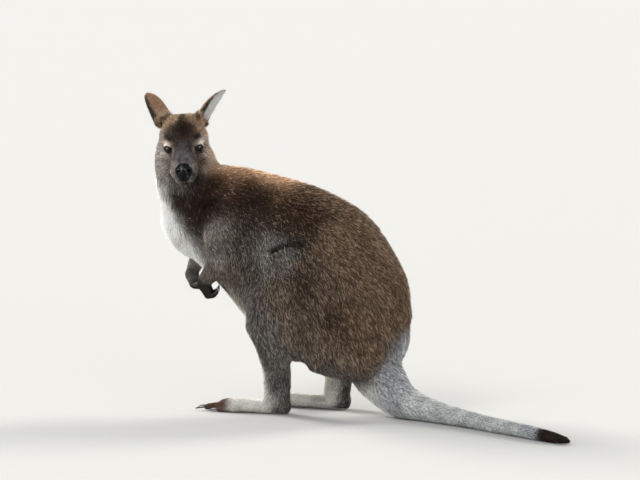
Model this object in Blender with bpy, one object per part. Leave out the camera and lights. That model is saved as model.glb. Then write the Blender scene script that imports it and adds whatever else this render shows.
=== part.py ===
"""A life-size Bennett's wallaby resting on its hind feet and tail, looking over its left side.

Lengths are metres. The body faces -X, its left side is at -Y and the floor is z = 0.
Each mass of the body is lofted or turned from a few measured stations, the masses are
fused and smoothed, and thin cuts part the result into head, neck, trunk, tail and limbs.
All surfaces are those of the coat's tips.
"""

import math

import bmesh
import bpy
from mathutils import Matrix, Vector

# ---------------------------------------------------------------- driving dimensions
GAP = 0.0003  # clearance between neighbouring nodes
ACROSS = Vector((0, 1, 0))

# Trunk axis from chest to rump: x, z, half thickness, half width
TRUNK = (
    (-0.207, 0.415, 0.108, 0.068),
    (-0.125, 0.384, 0.130, 0.085),
    (-0.035, 0.334, 0.161, 0.104),
    (0.053, 0.276, 0.171, 0.117),
    (0.128, 0.222, 0.134, 0.108),
    (0.172, 0.172, 0.090, 0.082),
)
CHEST_DOME = 0.055  # how far the chest bulges past its first station
RUMP_DOME = 0.040
BREAST_CENTRE = Vector((-0.232, 0.000, 0.398))
BREAST_RADII = Vector((0.071, 0.064, 0.090))
BREAST_LEAN = math.radians(20)

# Neck from shoulders to skull: x, y, z, radius
NECK = (
    (-0.190, 0.000, 0.400, 0.080),
    (-0.238, -0.001, 0.452, 0.072),
    (-0.253, -0.006, 0.500, 0.070),
    (-0.257, -0.011, 0.542, 0.062),
    (-0.250, -0.026, 0.578, 0.047),
)

# Head frame: the point between the eyeballs, and the way the face looks
HEAD_PLACE = Vector((-0.2367, -0.0640, 0.5517))
HEAD_TURN = math.radians(110)  # to the left of straight ahead
HEAD_DROP = math.radians(14)  # muzzle below level
HEAD_ROLL = math.radians(3)
# Skull and muzzle along the face: forward, up, half width, half height
SKULL = (
    (-0.070, 0.004, 0.043, 0.044),
    (-0.046, 0.008, 0.0530, 0.055),
    (-0.020, 0.001, 0.0505, 0.0545),
    (0.004, -0.009, 0.0400, 0.047),
    (0.021, -0.016, 0.0310, 0.041),
    (0.036, -0.022, 0.0270, 0.036),
    (0.052, -0.027, 0.0250, 0.031),
    (0.070, -0.031, 0.0210, 0.026),
    (0.081, -0.031, 0.0160, 0.021),
)
JAW = (
    (-0.035, -0.040, 0.034, 0.022),
    (0.005, -0.049, 0.0260, 0.019),
    (0.035, -0.054, 0.0190, 0.0155),
    (0.058, -0.0565, 0.0135, 0.0125),
)
CHEEK_CENTRE = Vector((0.0270, -0.026, -0.020))
CHEEK_RADII = Vector((0.0255, 0.040, 0.036))
LIP_CENTRE = Vector((0.0170, 0.0290, -0.0370))  # the full upper lips and whisker pads
LIP_RADII = Vector((0.0150, 0.0380, 0.0165))
NOSE_CENTRE = Vector((0.0, 0.0790, -0.0235))
NOSE_RADII = Vector((0.0165, 0.0095, 0.0150))

JAW_ANGLE = Vector((0.015, -0.036, -0.062))  # the cut between head and neck starts under it
HEAD_CUT_WAY = Vector((0.0, 0.25, 0.97))

EYE_RADIUS = 0.0098
EYE_PLACE = Vector((0.0303, 0.0085, 0.0060))

EAR_LENGTH = 0.092
EAR_WIDTH = 0.0235  # half width at the broadest
EAR_THICK = 0.0042
# ears in the head's frame: root, way they point, way they open
EAR_LEFT = (Vector((-0.027, -0.052, 0.0415)), Vector((-0.067, -0.023, 0.059)), Vector((-0.75, 0.45, -0.40)))
EAR_RIGHT = (Vector((0.030, -0.050, 0.0405)), Vector((0.044, -0.060, 0.048)), Vector((0.62, -0.74, 0.0)))

# Tail root: x, y, z, radius; then x, y, radius where its underside lies on the floor
TAIL_ROOT = ((0.135, 0.000, 0.155, 0.062), (0.162, -0.003, 0.108, 0.058), (0.193, -0.011, 0.068, 0.050))
TAIL_FLOOR = (
    (0.235, -0.025, 0.0385),
    (0.285, -0.045, 0.0285),
    (0.352, -0.077, 0.0220),
    (0.440, -0.127, 0.0182),
    (0.530, -0.184, 0.0163),
    (0.610, -0.234, 0.0145),
    (0.665, -0.264, 0.0110),
)
TAIL_TIP_DOME = 0.026
FLAT_DEPTH = 0.0016  # how much of the round underside the floor flattens

# Legs: the right one stands further back
LEG_BACK = {"left": 0.0, "right": 0.093}
FOOT_SIDE = 0.056
# thigh: x, distance from the middle, z, half height, half width (the knee comes last)
THIGH = (
    (0.168, 0.062, 0.190, 0.082, 0.040),
    (0.118, 0.072, 0.210, 0.126, 0.053),
    (0.045, 0.078, 0.228, 0.128, 0.055),
    (-0.020, 0.082, 0.205, 0.088, 0.049),
    (-0.052, 0.083, 0.172, 0.048, 0.041),
)
THIGH_DOME = 0.024
HAMSTRING_CENTRE = (0.118, 0.064, 0.148)
HAMSTRING_RADII = Vector((0.098, 0.050, 0.068))
KNEE_BACK_CENTRE = (0.022, 0.074, 0.150)
KNEE_BACK_RADII = Vector((0.034, 0.040, 0.036))
BUTTOCK_CENTRE = Vector((0.145, 0.000, 0.165))
BUTTOCK_RADII = Vector((0.096, 0.092, 0.085))
# shank: x, distance from the middle, z, half depth, half width
SHANK = (
    (-0.042, 0.083, 0.175, 0.038, 0.036),
    (-0.031, 0.074, 0.125, 0.0330, 0.030),
    (-0.028, 0.064, 0.085, 0.0310, 0.0255),
    (-0.031, 0.058, 0.045, 0.0300, 0.0245),
    (-0.031, 0.056, 0.020, 0.0280, 0.0230),
)
# foot along x from the heel: x, z, half width, half height
FOOT = (
    (-0.012, 0.021, 0.0195, 0.022),
    (-0.050, 0.0155, 0.0190, 0.0165),
    (-0.090, 0.0140, 0.0195, 0.0155),
    (-0.128, 0.0145, 0.0205, 0.0165),
    (-0.150, 0.0125, 0.0190, 0.0140),
)
HEEL_DOME = 0.012
# toes: side of the foot's middle (outwards positive), root x, tip x, radius at root and tip
TOES = {
    "fourth": (0.001, -0.135, -0.188, 0.0125, 0.0080),
    "fifth": (0.0145, -0.118, -0.158, 0.0095, 0.0062),
    "third": (-0.0135, -0.125, -0.160, 0.0060, 0.0044),
    "second": (-0.0185, -0.124, -0.156, 0.0056, 0.0042),
}
TOE_CLAW = {
    "fourth": (0.024, 0.0050),
    "fifth": (0.017, 0.0038),
    "third": (0.010, 0.0022),
    "second": (0.010, 0.0022),
}
ANKLE_CUT = 0.043

# Arms: shoulder, elbow, wrist, knuckles, finger ends
ARM = {
    "left": (
        Vector((-0.158, -0.052, 0.415)),
        Vector((-0.148, -0.080, 0.322)),
        Vector((-0.199, -0.047, 0.270)),
        Vector((-0.189, -0.040, 0.243)),
        Vector((-0.1765, -0.0395, 0.2540)),
    ),
    "right": (
        Vector((-0.178, 0.050, 0.415)),
        Vector((-0.243, 0.066, 0.338)),
        Vector((-0.259, 0.037, 0.279)),
        Vector((-0.243, 0.022, 0.254)),
        Vector((-0.222, 0.014, 0.262)),
    ),
}
SHOULDER_RADIUS = 0.042
ELBOW_RADIUS = 0.0265
WRIST_RADIUS = 0.0150
PALM_HALF_WIDTH = 0.0165
PALM_HALF_DEPTH = 0.0105
FINGERS = 5
FINGER_RADIUS = 0.0052
FINGER_CLAW = (0.011, 0.0024)

# Cells that part the arms and legs from the trunk: how far they reach, and how they lean
UPPER_ARM_CELL = (0.046, 0.050, 0.024)  # the last is the reach past shoulder and elbow
UPPER_ARM_OUT = 0.020
FOREARM_CELL = (0.0285, 0.0285, 0.016)
SHANK_CELL = (0.115, 0.085)
SHANK_LEAN = math.radians(-12)
THIGH_CELL_CENTRE = (0.060, 0.118, 0.205)
THIGH_CELL_RADII = (0.150, 0.062, 0.142)
THIGH_LEAN = math.radians(14)

# Slices of trunk and tail, in the order they come off: a point on the cut, the way the
# piece lies from it, the cell's length and half width, and the colour
SLICES = {
    "tail_tip": ((0.560, -0.203, 0.020), (0.85, -0.53, 0.0), 0.24, 0.09, "dark"),
    "tail_middle": ((0.375, -0.090, 0.020), (0.87, -0.49, 0.0), 0.24, 0.09, "tail"),
    "tail_base": ((0.196, 0.0, 0.100), (0.62, -0.06, -0.78), 0.22, 0.105, "tail"),
    "neck": ((-0.205, 0.0, 0.440), (-0.50, 0.0, 0.87), 0.30, 0.16, "back"),
    "chest": ((-0.085, 0.0, 0.360), (-0.88, 0.0, 0.47), 0.40, 0.30, "flank"),
    "abdomen": ((0.075, 0.0, 0.265), (-0.80, 0.0, 0.60), 0.40, 0.40, "back"),
}

# Triangles left in each fused body
BODY_FACES = 1980
HEAD_FACES = 1650
FOOT_FACES = 400
HAND_FACES = 230

COAT = {
    "back": (0.165, 0.115, 0.085),
    "flank": (0.22, 0.19, 0.165),
    "pale": (0.52, 0.49, 0.45),
    "face": (0.17, 0.15, 0.14),
    "dark": (0.045, 0.036, 0.032),
    "tail": (0.40, 0.38, 0.35),
    "eye": (0.012, 0.009, 0.008),
    "claw": (0.030, 0.025, 0.022),
}


# ---------------------------------------------------------------- helpers
def clear_scene():
    for item in list(bpy.data.objects):
        bpy.data.objects.remove(item, do_unlink=True)


def coat_material(name, roughness=0.9):
    """One Principled material in a named colour of the coat."""
    known = bpy.data.materials.get(name)
    if known:
        return known
    material = bpy.data.materials.new(name)
    material.use_nodes = True
    shader = material.node_tree.nodes["Principled BSDF"]
    shader.inputs["Base Color"].default_value = (*COAT[name], 1.0)
    shader.inputs["Roughness"].default_value = roughness
    shader.inputs["Metallic"].default_value = 0.0
    return material


def make_object(name, form):
    """An object in the scene from a bmesh, which is freed."""
    mesh = bpy.data.meshes.new(name)
    bmesh.ops.recalc_face_normals(form, faces=form.faces)
    form.to_mesh(mesh)
    form.free()
    made = bpy.data.objects.new(name, mesh)
    bpy.context.collection.objects.link(made)
    return made


def catmull(stations, steps):
    """Rows of numbers, smoothly filled in between the given stations."""
    rows = [Vector(row) for row in stations]
    padded = [2 * rows[0] - rows[1]] + rows + [2 * rows[-1] - rows[-2]]
    smooth = []
    for i in range(1, len(padded) - 2):
        before, start, end, after = padded[i - 1:i + 3]
        for step in range(steps):
            t = step / steps
            blend = 2 * start + (end - before) * t
            blend = blend + (2 * before - 5 * start + 4 * end - after) * t * t
            blend = blend + (3 * start - before - 3 * end + after) * t ** 3
            smooth.append(blend * 0.5)
    smooth.append(rows[-1])
    return smooth


def loft(stations, side, start_dome, end_dome, sides=24, steps=4, dome_steps=5):
    """A closed tube. A station is x, y, z, half size along side, half size across it."""
    rows = catmull(stations, steps)
    centres = [Vector(row[:3]) for row in rows]
    tangents = []
    for i in range(len(rows)):
        ahead = centres[min(i + 1, len(rows) - 1)]
        behind = centres[max(i - 1, 0)]
        tangents.append((ahead - behind).normalized())
    rings = [(centres[i], tangents[i], rows[i][3], rows[i][4]) for i in range(len(rows))]
    for k in range(1, dome_steps):
        turn = 0.5 * math.pi * k / dome_steps
        shrink = math.cos(turn)
        first = (centres[0] - tangents[0] * start_dome * math.sin(turn), tangents[0])
        last = (centres[-1] + tangents[-1] * end_dome * math.sin(turn), tangents[-1])
        rings.insert(0, (*first, rows[0][3] * shrink, rows[0][4] * shrink))
        rings.append((*last, rows[-1][3] * shrink, rows[-1][4] * shrink))
    form = bmesh.new()
    loops = []
    for centre, tangent, half_side, half_up in rings:
        across = (side - tangent * side.dot(tangent)).normalized()
        up = tangent.cross(across)
        loop = []
        for k in range(sides):
            turn = 2 * math.pi * k / sides
            point = centre + across * half_side * math.cos(turn) + up * half_up * math.sin(turn)
            loop.append(form.verts.new(point))
        loops.append(loop)
    for lower, upper in zip(loops, loops[1:]):
        for k in range(sides):
            near = (k + 1) % sides
            form.faces.new((lower[k], lower[near], upper[near], upper[k]))
    ends = (
        (centres[0] - tangents[0] * start_dome, loops[0]),
        (centres[-1] + tangents[-1] * end_dome, loops[-1]),
    )
    for point, loop in ends:
        pole = form.verts.new(point)
        for k in range(sides):
            form.faces.new((loop[k], loop[(k + 1) % sides], pole))
    return make_object("mass", form)


def ellipsoid(centre, radii, turn=None, segments=24, rings=14):
    form = bmesh.new()
    bmesh.ops.create_uvsphere(form, u_segments=segments, v_segments=rings, radius=1.0)
    place = Matrix.Translation(centre) @ (turn or Matrix.Identity(4)) @ Matrix.Diagonal((*radii, 1.0))
    bmesh.ops.transform(form, matrix=place, verts=form.verts)
    return make_object("mass", form)


def box_past(point, direction, side, length, half_side, half_other):
    """A box whose near face is centred on point and which runs on along direction."""
    form = bmesh.new()
    bmesh.ops.create_cube(form, size=1.0)
    ahead = direction.normalized()
    across = (side - ahead * side.dot(ahead)).normalized()
    turn = Matrix((across, ahead.cross(across), ahead)).transposed().to_4x4()
    size = Matrix.Diagonal((2 * half_side, 2 * half_other, length, 1.0))
    place = Matrix.Translation(point + ahead * length * 0.5) @ turn @ size
    bmesh.ops.transform(form, matrix=place, verts=form.verts)
    return make_object("cell", form)


def evaluated(item):
    """Freeze an object's modifiers into its mesh."""
    graph = bpy.context.evaluated_depsgraph_get()
    graph.update()
    mesh = bpy.data.meshes.new_from_object(item.evaluated_get(graph))
    item.modifiers.clear()
    old = item.data
    item.data = mesh
    bpy.data.meshes.remove(old)


def join(items):
    """One object from several, with their shells still separate."""
    form = bmesh.new()
    for item in items:
        form.from_mesh(item.data)
        bpy.data.objects.remove(item, do_unlink=True)
    return make_object("mass", form)


def fuse(items, voxel, rounds, faces):
    """Fuse masses into one smooth body and thin its mesh to about the given triangles."""
    body = join(items)
    remesh = body.modifiers.new("fuse", "REMESH")
    remesh.mode = "VOXEL"
    remesh.voxel_size = voxel
    smooth = body.modifiers.new("soften", "SMOOTH")
    smooth.factor = 0.5
    smooth.iterations = rounds
    evaluated(body)
    keep_largest(body)
    thin = body.modifiers.new("thin", "DECIMATE")
    thin.ratio = min(1.0, faces / (2 * len(body.data.polygons)))
    evaluated(body)
    return body


def keep_largest(item):
    """Drop every loose shell but the one with most vertices."""
    form = bmesh.new()
    form.from_mesh(item.data)
    left = set(form.verts)
    shells = []
    while left:
        seed = left.pop()
        shell = {seed}
        edge_of_shell = [seed]
        while edge_of_shell:
            vert = edge_of_shell.pop()
            for edge in vert.link_edges:
                other = edge.other_vert(vert)
                if other in left:
                    left.discard(other)
                    shell.add(other)
                    edge_of_shell.append(other)
        shells.append(shell)
    shells.sort(key=len)
    for shell in shells[:-1]:
        bmesh.ops.delete(form, geom=list(shell), context="VERTS")
    form.to_mesh(item.data)
    form.free()


def boolean(item, cutter, operation):
    cut = item.modifiers.new("cut", "BOOLEAN")
    cut.operation = operation
    cut.solver = "EXACT"
    cut.object = cutter
    evaluated(item)


def tidy_mesh(item):
    """Triangulate a cut piece and dissolve its slivers."""
    form = bmesh.new()
    form.from_mesh(item.data)
    bmesh.ops.dissolve_degenerate(form, edges=form.edges, dist=0.00005)
    bmesh.ops.triangulate(form, faces=form.faces)
    form.to_mesh(item.data)
    form.free()


def copy_of(item, name):
    twin = bpy.data.objects.new(name, item.data.copy())
    bpy.context.collection.objects.link(twin)
    return twin


def finish_node(item, name, colour):
    item.name = name
    item.data.name = name
    tidy_mesh(item)
    item.data.materials.clear()
    item.data.materials.append(coat_material(colour, 0.1 if colour == "eye" else 0.9))
    item.data.shade_smooth()
    return item


def peel(body, make_cell, name, colour):
    """Take the part of body inside a cell as its own node, leaving a thin gap."""
    inner = make_cell(0.0)
    outer = make_cell(GAP)
    piece = copy_of(body, name)
    boolean(piece, inner, "INTERSECT")
    boolean(body, outer, "DIFFERENCE")
    for cutter in (inner, outer):
        bpy.data.objects.remove(cutter, do_unlink=True)
    keep_largest(piece)
    keep_largest(body)
    return finish_node(piece, name, colour)


def trim(item, make_cell, keep_inside):
    """Cut an object by a cell, half a gap short of it."""
    cutter = make_cell(-0.5 * GAP if keep_inside else 0.5 * GAP)
    boolean(item, cutter, "INTERSECT" if keep_inside else "DIFFERENCE")
    bpy.data.objects.remove(cutter, do_unlink=True)
    keep_largest(item)


def box_cell(point, direction, length, half_side, half_other=None, side=ACROSS):
    """A cell beyond a plane; grow moves its faces outwards."""
    other = half_side if half_other is None else half_other
    def make(grow):
        near = point - direction.normalized() * grow
        return box_past(near, direction, side, length + 2 * grow, half_side + grow, other + grow)
    return make


def ball_cell(centre, radii, turn=None):
    def make(grow):
        return ellipsoid(centre, radii + Vector((grow, grow, grow)), turn, 14, 8)
    return make


# ---------------------------------------------------------------- frames
def head_matrix():
    """Columns: towards the animal's right, forward along the face, up."""
    level = Vector((-math.cos(HEAD_TURN), -math.sin(HEAD_TURN), 0.0))
    forward = level * math.cos(HEAD_DROP) - Vector((0, 0, 1)) * math.sin(HEAD_DROP)
    right = forward.cross(Vector((0, 0, 1))).normalized()
    up = right.cross(forward)
    frame = Matrix((right, forward, up)).transposed().to_4x4()
    roll = Matrix.Rotation(HEAD_ROLL, 4, "Y")
    return Matrix.Translation(HEAD_PLACE) @ frame @ roll


HEAD = head_matrix()


def on_head(point):
    return HEAD @ Vector(point)


def head_direction(vector):
    return (HEAD.to_3x3() @ Vector(vector)).normalized()


def body_side(side):
    return -1.0 if side == "left" else 1.0


# ---------------------------------------------------------------- masses
def along_head(rows, start_dome, end_dome):
    stations = []
    for forward, up, half_width, half_height in rows:
        stations.append((*on_head((0.0, forward, up)), half_width, half_height))
    return loft(stations, head_direction((1, 0, 0)), start_dome, end_dome)


def neck_masses():
    stations = [(x, y, z, radius, radius) for x, y, z, radius in NECK]
    return [loft(stations, ACROSS, 0.03, 0.02)]


def head_masses():
    masses = [along_head(SKULL, 0.020, 0.008), along_head(JAW, 0.02, 0.012)]
    turn = HEAD.to_3x3().to_4x4()
    for way in (-1, 1):
        centre = Vector((way * CHEEK_CENTRE.x, CHEEK_CENTRE.y, CHEEK_CENTRE.z))
        masses.append(ellipsoid(on_head(centre), CHEEK_RADII, turn))
        centre = Vector((way * LIP_CENTRE.x, LIP_CENTRE.y, LIP_CENTRE.z))
        masses.append(ellipsoid(on_head(centre), LIP_RADII, turn))
    masses.append(ellipsoid(on_head(NOSE_CENTRE), NOSE_RADII, turn))
    return masses


def trunk_masses():
    stations = [(x, 0.0, z, half_width, half_thick) for x, z, half_thick, half_width in TRUNK]
    trunk = loft(stations, ACROSS, CHEST_DOME, RUMP_DOME, sides=32)
    lean = Matrix.Rotation(BREAST_LEAN, 4, "Y")
    breast = ellipsoid(BREAST_CENTRE, BREAST_RADII, lean)
    return [trunk, breast, ellipsoid(BUTTOCK_CENTRE, BUTTOCK_RADII)]


def tail_stations():
    stations = [(x, y, z, radius, radius) for x, y, z, radius in TAIL_ROOT]
    for x, y, radius in TAIL_FLOOR:
        stations.append((x, y, radius - FLAT_DEPTH, radius, radius))
    return stations


def tail_masses():
    return [loft(tail_stations(), ACROSS, 0.03, TAIL_TIP_DOME, sides=20)]


def leg_point(side, x, out, z):
    return Vector((x + LEG_BACK[side], body_side(side) * out, z))


def thigh_masses(side):
    """The thigh swings back less than the foot, because both start at one pelvis."""
    stations = []
    for x, out, z, half_height, half_width in THIGH:
        toward_knee = max(0.0, (THIGH[0][0] - x) / (THIGH[0][0] - THIGH[-1][0]))
        shift = LEG_BACK[side] * toward_knee ** 1.5
        stations.append((x + shift, body_side(side) * out, z, half_width, half_height))
    thigh = loft(stations, ACROSS, THIGH_DOME, THIGH_DOME)
    x, out, z = HAMSTRING_CENTRE
    hamstring = ellipsoid(Vector((x, body_side(side) * out, z)), HAMSTRING_RADII)
    x, out, z = KNEE_BACK_CENTRE
    knee_back = ellipsoid(Vector((x + 0.5 * LEG_BACK[side], body_side(side) * out, z)), KNEE_BACK_RADII)
    return [thigh, hamstring, knee_back]


def shank_masses(side):
    stations = []
    for x, out, z, half_depth, half_width in SHANK:
        stations.append((*leg_point(side, x, out, z), half_width, half_depth))
    return [loft(stations, ACROSS, 0.03, 0.01)]


def toe_points(side, toe):
    out, root, tip, root_radius, tip_radius = TOES[toe]
    middle = 0.5 * (root + tip)
    place = FOOT_SIDE + out
    mid_radius = 0.5 * (root_radius + tip_radius)
    return (
        (*leg_point(side, root, place, root_radius - FLAT_DEPTH * 0.5), root_radius, root_radius),
        (*leg_point(side, middle, place, mid_radius - FLAT_DEPTH * 0.3), mid_radius, mid_radius),
        (*leg_point(side, tip, place, tip_radius - FLAT_DEPTH * 0.3), tip_radius, tip_radius),
    )


def foot_masses(side):
    stations = []
    for x, z, half_width, half_height in FOOT:
        stations.append((*leg_point(side, x, FOOT_SIDE, z), half_width, half_height))
    masses = [loft(stations, ACROSS, HEEL_DOME, 0.012)]
    for toe in TOES:
        masses.append(loft(toe_points(side, toe), ACROSS, 0.006, TOES[toe][4], 14))
    return masses


def arm_masses(side):
    shoulder, elbow, wrist, knuckles, _ = ARM[side]
    middle = 0.5 * (shoulder + elbow) + Vector((0, body_side(side) * 0.008, 0))
    past_wrist = wrist + (knuckles - wrist).normalized() * 0.012
    upper = (
        (*shoulder, SHOULDER_RADIUS, SHOULDER_RADIUS),
        (*middle, 0.034, 0.036),
        (*elbow, ELBOW_RADIUS, ELBOW_RADIUS),
    )
    halfway = 0.5 * (elbow + wrist)
    lower = (
        (*elbow, ELBOW_RADIUS, ELBOW_RADIUS),
        (*halfway, 0.0205, 0.0205),
        (*wrist, WRIST_RADIUS, WRIST_RADIUS),
        (*past_wrist, WRIST_RADIUS * 0.95, WRIST_RADIUS * 0.95),
    )
    return [loft(upper, ACROSS, 0.02, 0.012), loft(lower, ACROSS, 0.012, 0.008)]


def hand_frame(side):
    """Palm direction, finger direction and the axis the fingers lie side by side on."""
    _, _, wrist, knuckles, ends = ARM[side]
    palm = (knuckles - wrist).normalized()
    fingers = (ends - knuckles).normalized()
    across = palm.cross(fingers).normalized()
    return palm, fingers, across


def finger_path(side, number):
    """Centre line of one curled finger, from inside the palm to its end."""
    _, _, _, knuckles, ends = ARM[side]
    palm, fingers, across = hand_frame(side)
    spread = (number - (FINGERS - 1) / 2) / ((FINGERS - 1) / 2)
    short = 0.25 * abs(spread)
    root = knuckles + across * spread * (PALM_HALF_WIDTH - FINGER_RADIUS) - palm * 0.006
    bend = root + palm * (0.013 - 0.004 * abs(spread)) + fingers * 0.006 + across * spread * 0.002
    tip = bend + (ends - knuckles) * (0.80 - short) + across * spread * 0.003
    return root, bend, tip


def hand_masses(side):
    _, elbow_end, wrist, knuckles, _ = ARM[side]
    palm, _, across = hand_frame(side)
    cuff = wrist + (elbow_end - wrist).normalized() * 0.03
    stations = (
        (*cuff, WRIST_RADIUS * 1.12, WRIST_RADIUS * 1.12),
        (*wrist, WRIST_RADIUS, WRIST_RADIUS),
        (*(0.5 * (wrist + knuckles)), PALM_HALF_WIDTH * 0.95, PALM_HALF_DEPTH * 1.15),
        (*knuckles, PALM_HALF_WIDTH, PALM_HALF_DEPTH),
    )
    masses = [loft(stations, across, 0.01, 0.007)]
    for number in range(FINGERS):
        root, bend, tip = finger_path(side, number)
        rows = [(*point, FINGER_RADIUS * size, FINGER_RADIUS * size)
                for point, size in ((root, 1.05), (bend, 1.0), (tip, 0.8))]
        masses.append(loft(rows, across, 0.004, 0.004, 12))
    return masses


# ---------------------------------------------------------------- single solids
def ear_half_width(t):
    """Half width along the ear, from root (0) to tip (1)."""
    swell = math.sin(math.pi * min(1.0, 0.28 + 0.56 * t)) ** 0.8
    rounding = math.sqrt(max(0.0, 1.0 - max(0.0, (t - 0.70) / 0.30) ** 2.2))
    return EAR_WIDTH * swell * max(rounding, 0.16)


def make_ear(name, place, axis, opening):
    """A cupped leaf: an inner and an outer skin a few millimetres apart."""
    root = on_head(place)
    along = head_direction(axis)
    face = head_direction(opening)
    face = (face - along * face.dot(along)).normalized()
    across = along.cross(face)
    rows = 10
    columns = 6
    form = bmesh.new()
    skins = []
    for offset in (0.5, -0.5):
        grid = []
        for i in range(rows):
            t = i / (rows - 1)
            half = ear_half_width(t)
            cup = math.radians(95 - 62 * t)
            radius = half / math.sin(min(cup, math.radians(88)))
            line = []
            for k in range(columns):
                turn = cup * (2 * k / (columns - 1) - 1)
                edge = 1.0 - 0.55 * abs(2 * k / (columns - 1) - 1) ** 3
                reach = radius + offset * EAR_THICK * edge
                sway = 0.006 * math.sin(math.pi * t)
                point = root + along * EAR_LENGTH * t + across * reach * math.sin(turn)
                point = point - face * (reach * math.cos(turn) - radius * 0.75 + sway)
                line.append(form.verts.new(point))
            grid.append(line)
        skins.append(grid)
    outer, inner = skins
    for grid in skins:
        for i in range(rows - 1):
            for k in range(columns - 1):
                form.faces.new((grid[i][k], grid[i][k + 1], grid[i + 1][k + 1], grid[i + 1][k]))
    rim = [(i, 0) for i in range(rows)] + [(rows - 1, k) for k in range(1, columns)]
    rim += [(i, columns - 1) for i in range(rows - 2, -1, -1)]
    rim += [(0, k) for k in range(columns - 2, 0, -1)]
    for (i, k), (p, q) in zip(rim, rim[1:] + rim[:1]):
        form.faces.new((outer[i][k], outer[p][q], inner[p][q], inner[i][k]))
    return make_object(name, form)


def make_claw(name, root, direction, down, length, radius):
    """A tapered claw that bends towards down; its root is a flat cap."""
    direction = direction.normalized()
    down = (down - direction * down.dot(direction)).normalized()
    side = direction.cross(down)
    stations = []
    for t, size in ((0.0, 1.0), (0.55, 0.74), (1.0, 0.16)):
        centre = root + direction * length * t + down * length * 0.30 * t * t
        stations.append((*centre, radius * 0.85 * size, radius * size))
    claw = loft(stations, side, 0.0004, radius * 0.15, 5, 1, 1)
    return finish_node(claw, name, "claw")


def swelled(item, amount):
    """A copy whose surface stands amount further out."""
    twin = copy_of(item, "cell")
    normals = [vert.normal.copy() for vert in twin.data.vertices]
    for vert, normal in zip(twin.data.vertices, normals):
        vert.co = vert.co + normal * amount
    return twin


# ---------------------------------------------------------------- assembly
def build_head():
    head = fuse(head_masses() + neck_masses() + trunk_masses(), 0.0026, 4, HEAD_FACES)
    trim(head, neck_cut(), True)
    for side in ("left", "right"):
        centre = on_head((body_side(side) * EYE_PLACE.x, EYE_PLACE.y, EYE_PLACE.z))
        socket = ellipsoid(centre, Vector((1, 1, 1)) * (EYE_RADIUS + GAP * 2), None, 12, 8)
        boolean(head, socket, "DIFFERENCE")
        bpy.data.objects.remove(socket, do_unlink=True)
        keep_largest(head)
        eye = ellipsoid(centre, Vector((1, 1, 1)) * EYE_RADIUS, None, 12, 8)
        finish_node(eye, f"eye_{side}", "eye")
    cutter = swelled(head, GAP * 2)
    for side, ear in (("left", EAR_LEFT), ("right", EAR_RIGHT)):
        leaf = make_ear(f"ear_{side}", *ear)
        boolean(leaf, cutter, "DIFFERENCE")
        keep_largest(leaf)
        finish_node(leaf, f"ear_{side}", "back")
    bpy.data.objects.remove(cutter, do_unlink=True)
    finish_node(head, "head", "face")


def neck_cut():
    """The cell that holds the head: past a slanting plane from jaw angle to nape."""
    right = head_direction((1, 0, 0))
    return box_cell(on_head(JAW_ANGLE), head_direction(HEAD_CUT_WAY), 0.30, 0.090, 0.15, right)


def foot_box(side):
    """A flat cell round the foot alone, clear of the other foot and the tail."""
    def make(grow):
        form = bmesh.new()
        bmesh.ops.create_cube(form, size=1.0)
        size = Matrix.Diagonal((0.25 + 2 * grow, 0.090 + 2 * grow, ANKLE_CUT + 0.02 + 2 * grow, 1.0))
        centre = leg_point(side, -0.105, FOOT_SIDE + 0.006, 0.5 * (ANKLE_CUT - 0.02))
        bmesh.ops.transform(form, matrix=Matrix.Translation(centre) @ size, verts=form.verts)
        return make_object("cell", form)
    return make


def floor_cell():
    """Everything under the floor."""
    return box_past(Vector((0.2, 0, 0)), Vector((0, 0, -1)), ACROSS, 0.2, 1.2, 1.2)


def cut_floor(item):
    floor = floor_cell()
    boolean(item, floor, "DIFFERENCE")
    bpy.data.objects.remove(floor, do_unlink=True)
    keep_largest(item)


def wrist_cut(side, length, half_side):
    """A cell past the plane of the wrist; a short narrow one stays clear of the belly."""
    _, elbow, wrist, knuckles, _ = ARM[side]
    halfway = (wrist - elbow).normalized() + (knuckles - wrist).normalized()
    return box_cell(wrist, halfway.normalized(), length, half_side)


def build_feet():
    for side in ("left", "right"):
        foot = fuse(foot_masses(side) + shank_masses(side), 0.0022, 3, FOOT_FACES)
        cut_floor(foot)
        trim(foot, foot_box(side), True)
        down = Vector((0, 0, -1))
        for toe in TOES:
            out, _, tip, _, tip_radius = TOES[toe]
            length, radius = TOE_CLAW[toe]
            root = leg_point(side, tip - tip_radius * 0.35, FOOT_SIDE + out, tip_radius + 0.001)
            ahead = Vector((-1.0, 0.0, 0.05))
            claw = make_claw(f"claw_foot_{side}_{toe}", root, ahead, down, length, radius)
            seat = swelled(claw, GAP)
            boolean(foot, seat, "DIFFERENCE")
            bpy.data.objects.remove(seat, do_unlink=True)
        keep_largest(foot)
        finish_node(foot, f"foot_{side}", "pale")


def build_hands():
    for side in ("left", "right"):
        hand = fuse(hand_masses(side), 0.0014, 2, HAND_FACES)
        trim(hand, wrist_cut(side, 0.10, 0.045), True)
        palm, _, _ = hand_frame(side)
        for number in range(FINGERS):
            _, bend, tip = finger_path(side, number)
            ahead = (tip - bend).normalized()
            length, radius = FINGER_CLAW
            root = tip + ahead * 0.001
            claw = make_claw(f"claw_hand_{side}_{number + 1}", root, ahead, -palm, length, radius)
            seat = swelled(claw, GAP)
            boolean(hand, seat, "DIFFERENCE")
            bpy.data.objects.remove(seat, do_unlink=True)
        keep_largest(hand)
        finish_node(hand, f"hand_{side}", "dark")


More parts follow.
